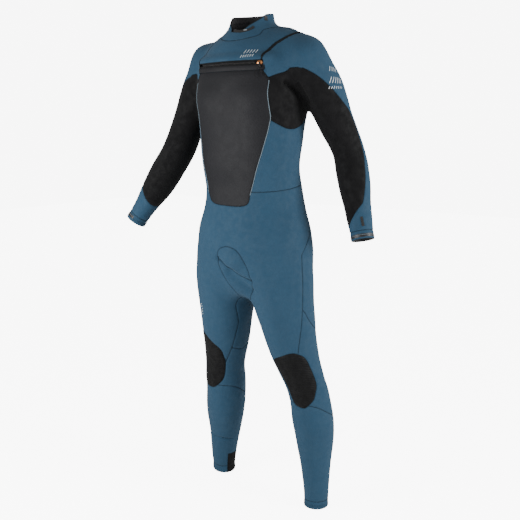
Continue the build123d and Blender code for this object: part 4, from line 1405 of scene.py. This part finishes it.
# Grip strips round both wrists, just above the hems
for side, away_from_end, turn_from, turn_to in (("left", -14.0, -64, 104), ("right", -10.0, -48, 12)):
    end, run, _ = hem_run(f"{side}_wrist")
    forward = unit(np.array([0, -1.0, 0]) - run * -run[1])
    leftward = np.cross(forward, run)
    for name, half_width, height, material, inset, shift in (
            ("grip_strip", 4.5, 0.7, label_rubber, 0, 0), ("grip_line", 0.35, 1.0, piping_weave, 14, 1.6)):
        centre = end - run * (away_from_end + shift)
        angles = np.radians(np.linspace(turn_from + inset, turn_to - inset, 40))
        flat = 33 * np.stack([np.sin(angles), np.cos(angles)], 1)
        parts = [strip(flat, centre, leftward, forward, half_width, height, 3)]
        add_piece(f"{side}_wrist_{name}", parts, material, "suit", "label")

# ---------------------------------------------------------------- stage, light and camera
floor = bpy.data.meshes.new("floor")
floor.from_pydata([(-8, -8, 0), (8, -8, 0), (8, 8, 0), (-8, 8, 0)], [], [(0, 1, 2, 3)])
floor_object = bpy.data.objects.new("floor", floor)
bpy.context.scene.collection.objects.link(floor_object)
studio = Look("studio_floor", (0.9, 0.9, 0.9), 0.9)
studio.tint(studio.spread(studio.noise(3), 0.3, 0.7, 0, 0.3), (0.86, 0.86, 0.86))
studio.shader.inputs["Emission Color"].default_value = (1, 1, 1, 1)
floor_seen = studio.node("ShaderNodeLightPath").outputs["Is Camera Ray"]
glow = studio.spread(floor_seen, 0, 1, 0, FLOOR_GLOW)
studio.tree.links.new(glow, studio.shader.inputs["Emission Strength"])
floor.materials.append(studio.material)

world = bpy.data.worlds.new("studio")
bpy.context.scene.world = world
world.use_nodes = True
background = world.node_tree.nodes["Background"]
background.inputs["Color"].default_value = (1, 1, 1, 1)
seen = world.node_tree.nodes.new("ShaderNodeLightPath")
strength = world.node_tree.nodes.new("ShaderNodeMapRange")
strength.inputs["To Min"].default_value = SKY_LIGHT
strength.inputs["To Max"].default_value = SKY_SEEN
world.node_tree.links.new(seen.outputs["Is Camera Ray"], strength.inputs["Value"])
world.node_tree.links.new(strength.outputs["Result"], background.inputs["Strength"])


def area_light(name, place, target, size, power):
    light = bpy.data.lights.new(name, "AREA")
    light.size = size
    light.energy = power
    obj = bpy.data.objects.new(name, light)
    obj.location = place
    obj.rotation_euler = (Vector(target) - Vector(place)).to_track_quat("-Z", "Y").to_euler()
    bpy.context.scene.collection.objects.link(obj)


area_light("key", (-0.55, -1.45, 1.0), (0, 0, 0.85), 0.7, 27)
area_light("side", (2.5, 0.5, 1.3), (0, 0, 0.9), 0.8, 62)

AZIMUTH, ELEVATION, DISTANCE = 36.1, 10.1, 2.1457
LOOK_AT = Vector((0.0438, -0.0006, 0.7577))
turned, rise = radians(AZIMUTH), radians(ELEVATION)
lens = bpy.data.cameras.new("camera")
lens.lens = 50
lens.sensor_width = 36
camera = bpy.data.objects.new("camera", lens)
toward_camera = Vector((sin(turned) * cos(rise), -cos(turned) * cos(rise), sin(rise)))
camera.location = LOOK_AT + toward_camera * DISTANCE
camera.rotation_euler = toward_camera.to_track_quat("Z", "Y").to_euler()
bpy.context.scene.collection.objects.link(camera)
bpy.context.scene.camera = camera
